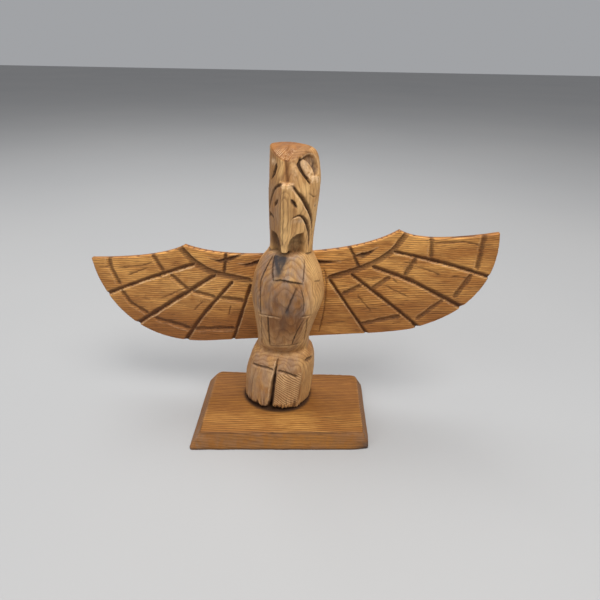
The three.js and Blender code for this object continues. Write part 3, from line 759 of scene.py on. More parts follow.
def carve_body(relief):
    on_body = 1 - smoothstep(relief.up, 93, 94)
    for i, cut in enumerate(BODY_CUTS):
        relief.groove(**{"seed": 71 + i * 5, "rough": 0.08, "lip": 0.3, **cut})
    carve_breast(relief)
    carve_feet(relief)
    blot = relief.noise((3, 3, 6), 51)
    ink = sum(strength * relief.blob(*spot) for strength, *spot in INK)
    relief.mark("soot", np.clip(ink * (0.95 + 0.35 * blot), 0, 1) * on_body)
    relief.mark("soot", 0.7 * relief.blob((9.5, 68), (1.7, 3)) * (1 + 0.3 * blot))
    relief.mark("soot", 0.3 * relief.blob((3, 60), (2.2, 6)) * (1 + 0.4 * blot))
    worn = stretch(relief, "worn chest", "worn middle", "worn feet") * (0.85 + 0.35 * blot) * on_body
    relief.mark("grey", worn * (1 - 0.9 * right_toe(relief)))
    relief.mark("gold", stretch(relief, "right side") * (0.8 + 0.5 * blot))
    relief.mark("gold", stretch(relief, "right foot"))
    # darker: the belly and the breast, with its left side
    darkening = (1.1 - 0.45 * band(relief.up, 40, 55, 4)) * (0.9 + 0.2 * blot)
    relief.mark("shade", darkening * np.clip(stretch(relief, "belly", "breast"), 0, 1) * on_body)
    relief.mark("shade", stretch(relief, "left of the breast") * on_body)
    relief.mark("shade", stretch(relief, "breast panel"))
    relief.mark("shade", stretch(relief, "lower half") * (0.8 + 0.5 * blot))
    relief.mark("shade", stretch(relief, "left of the lower half"))


def right_toe(relief):
    """Where the toe on the right is cut across the grain."""
    return band(relief.up, 9, 31.5, 0.5) * band(relief.across, 4, 52, 1)


def log_depth(points):
    """How many mm points are from the heart of the log."""
    return np.hypot(points[..., 0] - LOG_HEART[0], points[..., 1] - LOG_HEART[1])


def ring_depth(relief):
    """How many mm deep in the log's rings each point lies, with knots and a slanting cut on the right toe."""
    depth = log_depth(relief.places)
    for middle, size, count in KNOTS:
        depth = depth + count * relief.blob(middle, size)
    slant = 60 + relief.across * relief.unit * 0.62 + (relief.up - 20) * 0.9 + 0.6 * relief.noise(7, 55)
    depth = depth + 1.1 * relief.noise((4, 4, 9), 56) + 0.2 * relief.noise((2, 2, 3), 57)
    return np.where(right_toe(relief) > 0.5, slant, depth)


def hem_of_feet(relief, heights):
    """The fibres at the foot end raggedly."""
    around = np.stack([relief.across * 0.26, relief.across * 0, relief.across * 0], -1)
    ragged = 0.6 * noise(around, 0.7, 61) + 0.45 * noise(around, 2.3, 62) + 0.3
    near_hem = np.exp(-np.maximum(heights - heights[0], 0) / 1.5)
    return near_hem * smoothstep(np.cos(np.radians(relief.across)), 0.1, 0.5) * ragged


def hand_work(relief):
    """Scoops of the knife, settled towards the crown, and raised fibres. The scoops' ridges are lightened
    gold, partly for wear and partly as a painted highlight.
    """
    off, ridge = scoops(relief.places, (5.5, 5.5, 12), 3)
    facets = 0.34 * off**2 - 0.17 + 0.06 * relief.noise((1.6, 1.6, 4), 4)
    # gold on the scoops' ridges: partly wear, partly painted highlight
    worn = (1 - smoothstep(ridge, 0.02, 0.14)) * (1 - smoothstep(relief.up, 133, 136))
    relief.mark("gold", 0.5 * worn * (1 - relief.marks["cut"]) * (0.6 + 0.8 * relief.noise(3, 11)))
    fibres = 0.035 * relief.noise((0.5, 0.5, 7), 6)
    return facets * (1 - smoothstep(relief.up, 137, 140)) + fibres - 0.16


def clear_of_board(angle, z, radius, in_notch):
    """The radius, cut back where the notch takes the board."""
    direction = angle - pole_turn(z)
    turn = math.radians(-BOARD["yaw"])
    back_rate = math.sin(turn) * np.sin(direction) - math.cos(turn) * np.cos(direction)
    start_back = to_board(pole_point(angle, z, 0 * radius))[1]
    limit = (-GAP - start_back) / np.maximum(back_rate, 1e-3)
    return np.where(in_notch & (back_rate > 0.05), np.minimum(radius, limit), radius)


def crown_rows(angle, radius, edge_z, facet_edge):
    """Rings that shrink over the top from the pole's upper edge, and their marks."""
    full_edge = pole_radius(angle, edge_z)
    rings, marks = [], {name: [] for name in MARKS}
    for k in range(1, POLE_ROWS["crown"]):
        share = 1 - k / POLE_ROWS["crown"]
        full = full_edge * share
        ring = pole_point(angle, crown_height(full * np.sin(angle), full * np.cos(angle)), radius * share)
        on_facet = smoothstep(facet_edge - share, -0.04, 0.04)
        drawn = along_strokes(ring)
        knife = noise(drawn, 0.9, 9)
        # the knife's strokes show towards the front corner
        ahead = POLE_Y - ring[:, 1] - 0.25 * ring[:, 0]
        wave = np.sin(2 * math.pi * (drawn[:, 1] / 0.75 + 0.5 * knife))
        strokes = smoothstep(ahead, 2.5, 5.5) * smoothstep(wave, 0.1, 0.9)
        ring[:, 2] -= 0.17 + 0.05 * knife
        row_marks = {
            "red": on_facet,
            "lip": on_facet * strokes * 0.6,
            "shade": 0.8 * (1 - on_facet),
            "rings": log_depth(ring),
        }
        rings.append(ring)
        for name, values in marks.items():
            values.append(row_marks.get(name, 0 * angle))
    crown = np.array(rings)
    crown[..., 2] -= 0.06 * (1 + noise(crown, 3.5, 10))
    return crown, marks


def make_pole():
    angle, z, in_notch = pole_grid()
    degrees = np.degrees(np.where(angle > math.pi, angle - 2 * math.pi, angle))
    radius = pole_radius(angle, z)
    relief = Relief(degrees, z, radius * math.pi / 180, pole_point(angle, z, radius))
    z = z + hem_of_feet(relief, z)
    relief.up = z
    relief.marks["rings"] = ring_depth(relief)
    carve_head(relief)
    carve_body(relief)
    radius = np.minimum(radius + relief.height + hand_work(relief), pole_radius(angle, z) - SKIN)
    radius = clear_of_board(angle, z, radius, in_notch)
    points = pole_point(angle, z, radius)

    # the crown's sawn facet stops short of the rounded right temple
    facet_edge = 1.05 - 0.38 * band(degrees[-1], 15, 130, 12)
    crown, crown_marks = crown_rows(angle[-1], radius[-1], z[-1], facet_edge)
    marks = {name: np.concatenate([relief.marks[name], crown_marks[name]]) for name in MARKS}
    edge_row = len(points) - 1
    near_edge = smoothstep(np.arange(len(points)), edge_row - 3, edge_row)[:, None]
    marks["red"][: len(points)] = near_edge * smoothstep(facet_edge, 0.96, 1.04)
    grid = soften_crown(np.concatenate([points, crown]), edge_row, degrees[0])

    sole = sole_rings(angle[0], points[0], radius[0])
    rings = np.concatenate([sole, grid])
    skin = np.concatenate([rings.reshape(-1, 3), [sole[0].mean(0), grid[-1].mean(0)]])
    flat = {}
    for name, values in marks.items():
        # the sole's underside gets painted shade
        under = np.full(sole[..., 0].size, 0.9 if name == "cut" else 0)
        flat[name] = np.concatenate([under, values.ravel(), [under[0], values[-1].mean()]])
    return make_mesh("carved_pole", skin, closed_faces(*rings.shape[:2]), flat)


def along_strokes(points):
    """Points drawn together along the strokes of the knife on the crown."""
    x, y = turned(points[..., 0], points[..., 1], -38)
    return np.stack([x * 0.25, y, 0 * x], -1)


def sole_rings(angle, hem, radius):
    """The underside touches the block behind and lifts off it towards the front."""
    ahead = np.maximum(np.cos(angle), 0)
    rings = []
    for share in (0, 0.5):
        inner = np.minimum(radius, radius * (1 - (1 - share) * SOLE["inset"] * ahead) - 0.2)
        ring = pole_point(angle, np.full_like(angle, SOLE["z"]), inner)
        ring[:, 2] = SOLE["z"] + (hem[:, 2] - SOLE["z"]) * share * 0.8
        rings.append(ring)
    return np.array(rings)


def soften_crown(grid, edge_row, degrees):
    """Rounds the crown's edge, most at the two upper corners and least at the front."""
    rows = np.arange(len(grid))[:, None, None]
    degrees = degrees[None, :, None]
    reach = np.exp(-(((rows - edge_row) / 6) ** 2))
    corner = smoothstep(degrees, 20, 70) + 0.25 * smoothstep(-degrees, 20, 70)
    weight = reach * (0.15 + 0.85 * corner)
    for _ in range(SOFTENING_ROUNDS):
        smooth = grid.copy()
        smooth[1:-1] = (grid[2:] + grid[:-2]) / 2
        grid = grid + (smooth - grid) * weight
    return grid


# The wings, 1 on the viewer's right and -1 on the left. Points are mm out from the middle and up from
# the board's own line. Edges are the controls of curves, and the rest are the ways of the knife.
WINGS = {
    1: {
        "top": ((0, 20.1), (37, 19.2), (52.4, 27.9)),
        "trailing": ((52.4, 27.9), (62, 20.4), (96.57, 23.5)),
        "hem": ((60, -23.6), (91, -16), (98, 6), (96.57, 23.5)),
        "under": [
            ((0, -26.5), (30, -26.2)),
            ((30, -26.2), (45, -26.3), (57.4, -24.6)),
            ((57.4, -24.6), (60, -23.6)),
        ],
        "under_breaks": (0, 0.5, 0.95, 1),
        "shoulder": [(56.4, 27), (48.5, 17.8), (37.2, 11.4), (18.4, 5.8)],
        "lips": (0.5, 0.35, 0.3, 0.4),
        "broad": 1.2,
        "quills": [
            [(50.3, 18), (75.4, 9.7), (94, 2.2)],
            [(40.3, 10.8), (59, 1.6), (83.4, -14)],
            [(30, 7.3), (52.1, -13.9), (60.8, -23), (62, -24.8)],
            [(19.3, 5), (36.4, -27.5)],
        ],
        "crossings": [
            [(66.7, 23.2), (66.5, 14)],
            [(59.5, 13.8), (54.6, 5.1)],
            [(47.7, 4.8), (39.4, -0.5)],
            [(33.7, 1.3), (25, -2.9)],
            [(89.9, 24), (87.7, 6.5)],
            [(85.4, 3.9), (78.1, -7.8)],
            [(72.6, -9), (60.6, -18.9)],
            [(52.1, -16.9), (33.5, -20.3)],
        ],
        "ticks": [[(29.5, 22.2), (33.4, 11.3)]],
        "wedges": [[(42.6, 20.4), (37, 17.5), (30.8, 17)], [(25, 14.3), (19, 14.6), (8, 14.9)]],
        "cracks": [
            [(16.7, 11.9), (17.3, 3.8), (15, -11.6), (11, -25.2)],
            [(45.5, 0.8), (50.9, -3), (57.6, -6.8)],
            [(31.4, -3.3), (34.9, -8.4), (38.7, -13.8)],
            [(60.1, 9.2), (65, 7.6), (72.1, 4.3)],
            [(48.6, 4.6), (51.9, 0.7)],
            [(65.1, 13.4), (65.5, 10.8)],
            [(66.9, 20.8), (81.5, 20.5), (89.4, 17.5)],
            [(53.3, 12.2), (61.4, 11.1)],
            [(75.6, 3.7), (84.9, 2.2)],
        ],
    },
    -1: {
        "top": ((0, 20.1), (33, 19.7), (49, 27.5)),
        "trailing": ((49, 27.5), (62, 21.5), (97.5, 24)),
        "hem": ((48, -26.6), (88, -26), (98.5, 3), (97.5, 24)),
        "under": [((0, -26.5), (48, -26.6))],
        "under_breaks": (0, 1),
        "shoulder": [(53, 28.6), (45.7, 18.4), (36.6, 12), (19.5, 6.8)],
        "lips": (1, 0.8, 0.4, 0.4),
        "broad": 1.4,
        "quills": [
            [(46.7, 17.8), (73.7, 10.8), (95, 4.4)],
            [(37.5, 11), (59.8, -0.9), (86, -15.2)],
            [(29.2, 6.7), (47.8, -11.3), (60.5, -26.4)],
            [(20.1, 4.7), (34.6, -27.8)],
        ],
        "crossings": [
            [(66, 23.5), (62.7, 15)],
            [(59.1, 12.3), (52.1, 3.4)],
            [(50.2, 3), (39.1, -1.3)],
            [(37.8, -1.4), (25, -3.9)],
            [(88.4, 24.6), (88.9, 18.7), (87, 9.4)],
            [(86.9, 5), (84, -1.8), (76.7, -8.3)],
            [(73.3, -11.5), (56.2, -18.6)],
            [(53.5, -19.1), (32.3, -19.8)],
        ],
        "ticks": [[(29.4, 22.6), (32.2, 11.7)]],
        "wedges": [[(38.6, 20.5), (33, 18.4), (22.4, 20.7)], [(24.6, 16.2), (19.5, 15.5), (11, 17.8)]],
        "cracks": [
            [(49.8, 6.2), (58.3, 3.1), (68.5, -0.6)],
            [(45.3, -2.6), (49, -5.6), (52.2, -8.4)],
            [(31.5, -5.6), (34.4, -12.8)],
            [(86, 18), (72.8, 18.6), (66.6, 19.9)],
            [(82, 13.7), (69.2, 17.3)],
            [(96, 19), (88.4, 18.9)],
            [(11.9, 20.3), (11.1, 16.7)],
        ],
    },
}
QUILL_SIZES = [(2.4, 1.2), (2.9, 1.3), (2.4, 1.3), (2, 1.2)]  # how wide and how deep
WEDGE_SIZES = (0.15, 0.7, 1, 0.3)
TOP_BREAK = 0.525  # the share of the columns up to the corner of the upper edge
WING_COLUMNS = 240  # on each side of the middle
WING_ROWS = 142  # its cells go evenly into those of the back
BACK_STEP = 3  # the plain back has one cell to so many of the front
EASE = 0.45  # how far the board's arris is eased
DRYING_CHECKS = {"count": 90, "seed": 17}


def bezier(controls, t):
    """Points at t along the curve with these controls."""
    points = np.array(controls, float)[:, None, :] * np.ones((1, len(t), 1))
    t = t[:, None]
    while len(points) > 1:
        points = points[:-1] * (1 - t) + points[1:] * t
    return points[0]


def chain(curves, t, breaks):
    """A point of several curves in a row, each with its own stretch of t."""
    result = np.zeros((len(t), 2))
    for curve, low, high in zip(curves, breaks, breaks[1:]):
        inside = (t >= low - 1e-9) & (t <= high + 1e-9)
        result[inside] = bezier(curve, (t[inside] - low) / (high - low))
    return result


def wing_half(wing):
    """A grid over one wing: it runs from the middle to the hem, and from the lower edge to the upper one."""
    u = np.linspace(0, 1, WING_COLUMNS + 1)
    v = np.linspace(0, 1, WING_ROWS)
    top = chain([wing["top"], wing["trailing"]], u, (0, TOP_BREAK, 1))
    low = chain(wing["under"], u, wing["under_breaks"])
    root = bezier(((0, ROOT["bottom"]), (0, ROOT["top"])), v)
    hem = bezier(wing["hem"], v)
    u, v = u[None, :, None], v[:, None, None]
    grid = (1 - v) * low[None] + v * top[None] + (1 - u) * root[:, None] + u * hem[:, None]
    corners = (1 - u) * ((1 - v) * root[0] + v * root[-1]) + u * ((1 - v) * hem[0] + v * hem[-1])
    return grid - corners


def carve_wing(relief, side, wing):
    """The grooves and cracks of one wing, each with a seed of its own."""
    seed = 200 + 40 * side
    broad = wing["broad"]
    quill_share = 0.6 + 0.35 * broad
    shoulder = dict(wide=2.9 * broad, deep=1.2, lean=0.45 * side, dark=0.8, lip=0.3, run_out=0.6)
    quill = dict(lean=0.6 * side, dark=0.95, run_out=0.3)
    crossing = dict(wide=2.5 * broad, deep=0.9, lean=0.1, dark=0.75, lip=0.25, rough=0.22, run_out=0.5)
    tick = dict(wide=2.1, deep=1.1, dark=0.9, rough=0.25, run_out=0.5)
    wedge = dict(wide=3, deep=1.5, lean=0.2 * side, sizes=WEDGE_SIZES, run_out=0.3, rough=0.15)
    cuts = [(0, wing["shoulder"], shoulder)]
    for i, (wide, deep) in enumerate(QUILL_SIZES):
        sizes = dict(wide=wide * quill_share, deep=deep, lip=wing["lips"][i])
        cuts.append((i, wing["quills"][i], {**quill, **sizes}))
    cuts += [(5 + i, path, crossing) for i, path in enumerate(wing["crossings"])]
    cuts += [(20 + i, path, tick) for i, path in enumerate(wing["ticks"])]
    cuts += [(24 + i, path, wedge) for i, path in enumerate(wing["wedges"])]
    for number, path, shape in cuts:
        relief.groove(mirrored(path, side), seed=seed + number, **shape)
    for i, path in enumerate(wing["cracks"]):
        relief.crack(mirrored(path, side), 0.6, 0.5, 0.95, seed + 30 + i)


def tone_wings(relief):
    """The board is darker low down, at its ends and on the left, and golden over the left wing's middle."""
    from_middle = np.abs(relief.across)
    low = 1 - smoothstep(relief.up, -24, 4)
    tone = relief.noise((14, 1, 6), 27)
    left = smoothstep(-relief.across, 10, 30)
    near_body = 1 - smoothstep(from_middle, 18, 34)
    shade = (0.75 + 0.5 * left - 0.4 * near_body) * low + 0.3 * smoothstep(tone, -0.2, 0.8)
    relief.mark("shade", shade + 0.2 * smoothstep(from_middle, 78, 96))
    relief.mark("gold", 0.55 * relief.blob((-45, 4), (24, 11)) * (0.8 + 0.4 * tone))
    relief.marks["rings"] = ring_lines(relief)


def ring_lines(relief):
    """Depth in the growth rings across the board, in mm: they run along it and waver."""
    sway = 2.4 * relief.noise((70, 1, 18), 28) + 0.5 * relief.noise((16, 1, 6), 29)
    return relief.up * 0.9 + relief.across * 0.03 + 40 + sway


def random_checks(relief, count, seed):
    """Short dark drying cracks along the grain."""
    rng = np.random.default_rng(seed)
    low, high = relief.across.min(), relief.across.max()
    for _ in range(count):
        x, z = rng.uniform(low, high), rng.uniform(-24, 26)
        length = rng.uniform(4, 15)
        drift = rng.uniform(-0.6, 0.6, 3)
        end = z + drift[0]
        path = [(x, z), (x + length / 2, end + drift[1] * 0.4), (x + length, end + drift[2])]
        wide, deep, dark = rng.uniform(0.22, 0.4), rng.uniform(0.1, 0.3), rng.uniform(0.3, 0.9)
        relief.crack(path, wide, deep, dark, int(rng.integers(1000)))


def ordered_rim(rows, columns):
    """The outermost cells of a grid, in order around it."""
    rim = [(0, j) for j in range(columns)] + [(i, columns - 1) for i in range(1, rows)]
    rim += [(rows - 1, j) for j in range(columns - 2, -1, -1)] + [(i, 0) for i in range(rows - 2, 0, -1)]
    return rim


def back_faces(back_rows, back_columns, on_rim, first):
    """Faces of the plain back. Its outer cells take in every point of the fine rim beside them."""

    def walk(start, end):
        """The points from one back corner up to the next."""
        steps = max(abs(end[0] - start[0]), abs(end[1] - start[1])) * BACK_STEP
        (i0, j0), (i1, j1) = ((back_rows[i], back_columns[j]) for i, j in (start, end))
        inner = first + start[0] * len(back_columns) + start[1]
        points = [on_rim.get((i0, j0), inner)]
        between = [(i0 + (i1 - i0) * k // steps, j0 + (j1 - j0) * k // steps) for k in range(1, steps)]
        if all(cell in on_rim for cell in between):
            points += [on_rim[cell] for cell in between]
        return points

    faces = []
    for i in range(len(back_rows) - 1):
        for j in range(len(back_columns) - 1):
            ring = [(i, j), (i + 1, j), (i + 1, j + 1), (i, j + 1)]
            faces.append([point for a, b in zip(ring, ring[1:] + ring[:1]) for point in walk(a, b)])
    return faces


def make_wings():
    right, left = wing_half(WINGS[1]), wing_half(WINGS[-1])
    flat = np.concatenate([left[:, ::-1] * (-1, 1), right[:, 1:]], axis=1)
    across, up = flat[..., 0], flat[..., 1]
    relief = Relief(across, up, 1, np.stack([across, 0 * across, up], -1))
    for side, wing in WINGS.items():
        carve_wing(relief, side, wing)
    tone_wings(relief)
    random_checks(relief, **DRYING_CHECKS)
    # the outermost cells ease the edge
    edge = np.full(across.shape, EASE)
    edge[1:-1, 1:-1] = 0
    unevenness = 0.1 * relief.noise((14, 1, 7), 21) + 0.05 * relief.noise((5, 1, 1.2), 22)
    fibres = 0.03 * relief.noise((6, 1, 0.5), 23)
    back = np.maximum(0.12 - unevenness - fibres - relief.height, 0) + edge
    back = np.minimum(back, BOARD["thick"] - 0.9)

    rows, columns = across.shape
    rim = ordered_rim(rows, columns)
    at_rim = tuple(np.array(rim).T)
    rim_rows = []
    for share in (0.35, 0.7, 1):
        depth = back[at_rim] + (BOARD["thick"] - EASE - back[at_rim]) * share
        rim_rows.append(from_board(across[at_rim], depth, up[at_rim]))
    back_rows, back_columns = list(range(0, rows, BACK_STEP)), list(range(0, columns, BACK_STEP))
    at_back = np.ix_(back_rows, back_columns)
    behind = from_board(across, BOARD["thick"] - 0.07 + 0.06 * relief.noise((20, 1, 6), 25), up)[at_back]
    front = from_board(across, back, up)
    points = np.concatenate([front.reshape(-1, 3), *rim_rows, behind.reshape(-1, 3)])

    faces = grid_faces(rows, columns)
    previous = [i * columns + j for i, j in rim]
    first = rows * columns
    for _ in rim_rows:
        current = range(first, first + len(rim))
        for i in range(len(rim)):
            after = (i + 1) % len(rim)
            faces.append([previous[after], previous[i], current[i], current[after]])
        previous = current
        first += len(rim)
    faces += back_faces(back_rows, back_columns, dict(zip(rim, previous)), first)

    marks = {}
    for name, values in relief.marks.items():
        on_rim = values[at_rim] * {"rings": 1, "lip": 0}.get(name, 0.5)
        on_back = np.zeros(behind[..., 0].size)
        if name == "rings":
            on_back = values[at_back].ravel() + 3
        elif name == "shade":
            on_rim, on_back = np.full(len(rim), 0.8), on_back + 0.4
        marks[name] = np.concatenate([values.ravel(), *[on_rim] * len(rim_rows), on_back])
    # points of the back that lie on the rim are left out, because the rim has them already
    used = sorted({point for face in faces for point in face})
    renumber = {point: k for k, point in enumerate(used)}
    faces = [[renumber[point] for point in face] for face in faces]
    marks = {name: values[used] for name, values in marks.items()}
    return make_mesh("carved_wings", points[used], faces, marks)


# The block
BLOCK_STEPS = {"side": 90, "corner": 10}
BLOCK_ROWS = {"slope": 14, "top": 46}
DENT = {"at": (43, -24.5, 0), "size": (5, 4, 4), "deep": 0.9}  # the knocked lower corner on the right
BRIGHT = {"at": (3, -16), "size": (38, 9)}  # where the top is left lighter


def block_plan(share):
    """Outline of the block at a share of its flare, with rounded corners, anticlockwise from above."""
    flare = BLOCK["flare"]
    x0, x1 = BLOCK["left"] - flare["left"] * share, BLOCK["right"] + flare["right"] * share
    y1 = BLOCK["back"] + flare["back"] * share
    corners = [
        ((x0, BLOCK["front_left"] - flare["front"] * share), BLOCK["front_radius"]),
        ((x1, BLOCK["front_right"] - flare["front"] * share), BLOCK["front_radius"]),
        ((x1, y1), BLOCK["back_radius"]),
        ((x0, y1), BLOCK["back_radius"]),
    ]
    rounded = []
    for i, (at, radius) in enumerate(corners):
        at = np.array(at, float)
        ways = [np.array(corners[k % 4][0], float) - at for k in (i + 3, i + 1)]
        before, after = [at + way / np.linalg.norm(way) * radius for way in ways]
        rounded.append(bezier((before, at, after), np.linspace(0, 1, BLOCK_STEPS["corner"] + 1)))
    points = []
    for i in range(4):
        points.append(rounded[i][:-1])
        t = np.linspace(0, 1, BLOCK_STEPS["side"], endpoint=False)[:, None]
        points.append(rounded[i][-1] * (1 - t) + rounded[(i + 1) % 4][0] * t)
    return np.concatenate(points)


def shadow_under_feet(points):
    """Where the block lies under the pole and just ahead of its hem, for painted shadow there."""
    level = np.full(points.shape[:-1], SOLE["z"])
    x, y = points[..., 0] - smooth_column(SECTIONS, 1, level), POLE_Y - points[..., 1]
    angle = np.arctan2(x, y) + pole_turn(level)
    return 1 - smoothstep(np.hypot(x, y) - pole_radius(angle, level), 0.1, 1.4 + 0.8 * np.cos(angle))


def block_rings():
    """Rings of points from the underside up the slope and in over the top, and the row of the upper edge."""
    height, foot = BLOCK["height"], BLOCK["foot"]
    top, base = block_plan(0), block_plan(1)
    middle = top.mean(0)
    rings = [(base, 0), (base, 0.25), (base, foot * 0.6)]
    for k in range(BLOCK_ROWS["slope"]):
        share = k / BLOCK_ROWS["slope"]
        rings.append((base + (top - base) * share, foot + (height - foot) * share))
    edge_row = len(rings)
    for share in 1 - np.linspace(0, 1, BLOCK_ROWS["top"], endpoint=False) ** 1.25:
        rings.append((middle + (top - middle) * share, height))
    grid = np.array([np.column_stack([outline, np.full(len(outline), z)]) for outline, z in rings])
    return grid, edge_row, middle


def make_block():
    height = BLOCK["height"]
    grid, edge_row, middle = block_rings()
    rows, columns = grid.shape[:2]
    row = np.arange(rows)[:, None]
    sides = (row < edge_row).astype(float)
    front = smoothstep(-grid[..., 1], 17, 20)
    at_edge = np.exp(-(((row - edge_row) / 1.6) ** 2))
    wear = 0.22 + 0.2 * noise(grid, 5, 81) + 0.12 * noise(grid, 1.7, 82)
    dent = soft_spot(grid, DENT["at"], DENT["size"])
    bow = 0.25 * noise(grid, (12, 12, 30), 83)
    inward = grid * (-0.3, -1, 0)
    inward /= np.linalg.norm(inward, axis=-1, keepdims=True) + 1e-9
    grid[..., 2] -= at_edge * wear * (0.5 + 0.5 * front)
    worn = sides * (0.12 + 0.12 * noise(grid, (6, 6, 3), 84)) + at_edge * wear * 0.7
    grid += inward * (worn + DENT["deep"] * dent)[..., None]
    grid[..., 2] += (1 - sides) * (0.05 * noise(grid, (12, 1.6, 5), 85) - 0.06)
    near_edge = slice(edge_row - 2, edge_row + 2)
    grid[near_edge, :, 2] += (0.15 * bow * front)[near_edge] - 0.05
    grid[..., 2] = np.clip(grid[..., 2], 0, height)

    bright = soft_spot(grid[..., :2], BRIGHT["at"], BRIGHT["size"])
    # painted contact shadow at the foot of the block, and under and in front of the pole's feet
    painted_shadow = np.maximum(1 - smoothstep(grid[..., 2], 0.2, 1.6), 1.9 * shadow_under_feet(grid))
    arris = np.exp(-(((row - edge_row + 0.4) / 0.9) ** 2)) * front * (0.75 + 0.5 * noise(grid, 4, 86))
    side_corners = np.exp(-(((np.abs(grid[..., 0]) - 41.5) / 2.2) ** 2))
    marks = {
        "cut": 0.75 * arris + 0.5 * painted_shadow,
        "lip": 0.15 * at_edge * (1 - front) * (0.6 + 0.5 * noise(grid, 3, 87)),
        "grey": (0.5 * side_corners + 0.35 * front) * sides,
        "soot": 0.8 * dent,
        "shade": 1 - 0.7 * bright * (1 - sides),
        "rings": 60 + grid[..., 1] * 0.85 + grid[..., 2] * 0.6 + 1.8 * noise(grid, (70, 14, 14), 88),
        "end_grain": -0.75 * front * sides,
    }
    points = np.concatenate([grid.reshape(-1, 3), [(*middle, 0), (*middle, height - 0.08)]])
    plain = np.zeros((rows, columns))
    flat = {name: np.append(marks.get(name, plain), [0, 0]) for name in MARKS}
    return make_mesh("worn_block", points, closed_faces(rows, columns), flat)


# Materials
def linear(red, green, blue):
    """A colour given as it looks on a screen, 0 to 255."""
    values = [c / 255 for c in (red, green, blue)]
    return tuple(c / 12.92 if c <= 0.04045 else ((c + 0.055) / 1.055) ** 2.4 for c in values) + (1,)


def palette(**colours):
    """Tones by name, each given as it looks on a screen."""
    return {name: linear(*colour) for name, colour in colours.items()}


class Shader:
    """Nodes of one material, each made by a short call."""

    def __init__(self, name):
        self.material = bpy.data.materials.new(name)
        self.material.use_nodes = True
        self.tree = self.material.node_tree
        self.tree.nodes.clear()

    def node(self, kind, inputs=(), output=0, **settings):
        made = self.tree.nodes.new("ShaderNode" + kind)
        for key, value in settings.items():
            setattr(made, key, value)
        for key, value in dict(inputs).items():
            if isinstance(value, bpy.types.NodeSocket):
                self.tree.links.new(value, made.inputs[key])
            else:
                made.inputs[key].default_value = value
        return made.outputs[output] if made.outputs else None

    def math(self, operation, a, b=0.0, c=0.0, clamp=False):
        return self.node("Math", {0: a, 1: b, 2: c}, operation=operation, use_clamp=clamp)

    def mix(self, factor, a, b, blend="MIX"):
        return self.node("Mix", {0: factor, 6: a, 7: b}, 2, data_type="RGBA", blend_type=blend)

    def times(self, a, b, clamp=False):
        return self.math("MULTIPLY", a, b, clamp=clamp)

    def noise(self, vector, scale, detail=3.0, roughness=0.55):
        vector = self.node("VectorMath", {0: vector, 1: scale}, operation="MULTIPLY")
        inputs = {"Vector": vector, "Scale": 1.0, "Detail": detail, "Roughness": roughness}
        return self.node("TexNoise", inputs)

    def span(self, value, low, high):
        """0 below one limit and 1 above the other."""
        inputs = {"Value": value, "From Min": low, "From Max": high}
        return self.node("MapRange", inputs, interpolation_type="SMOOTHSTEP")

    def mark(self, name):
        return self.node("Attribute", output=2, attribute_name=name)

    def broken(self, name, pattern, low, high):
        """A mark, broken up by a pattern."""
        return self.times(self.mark(name), self.span(pattern, low, high), clamp=True)


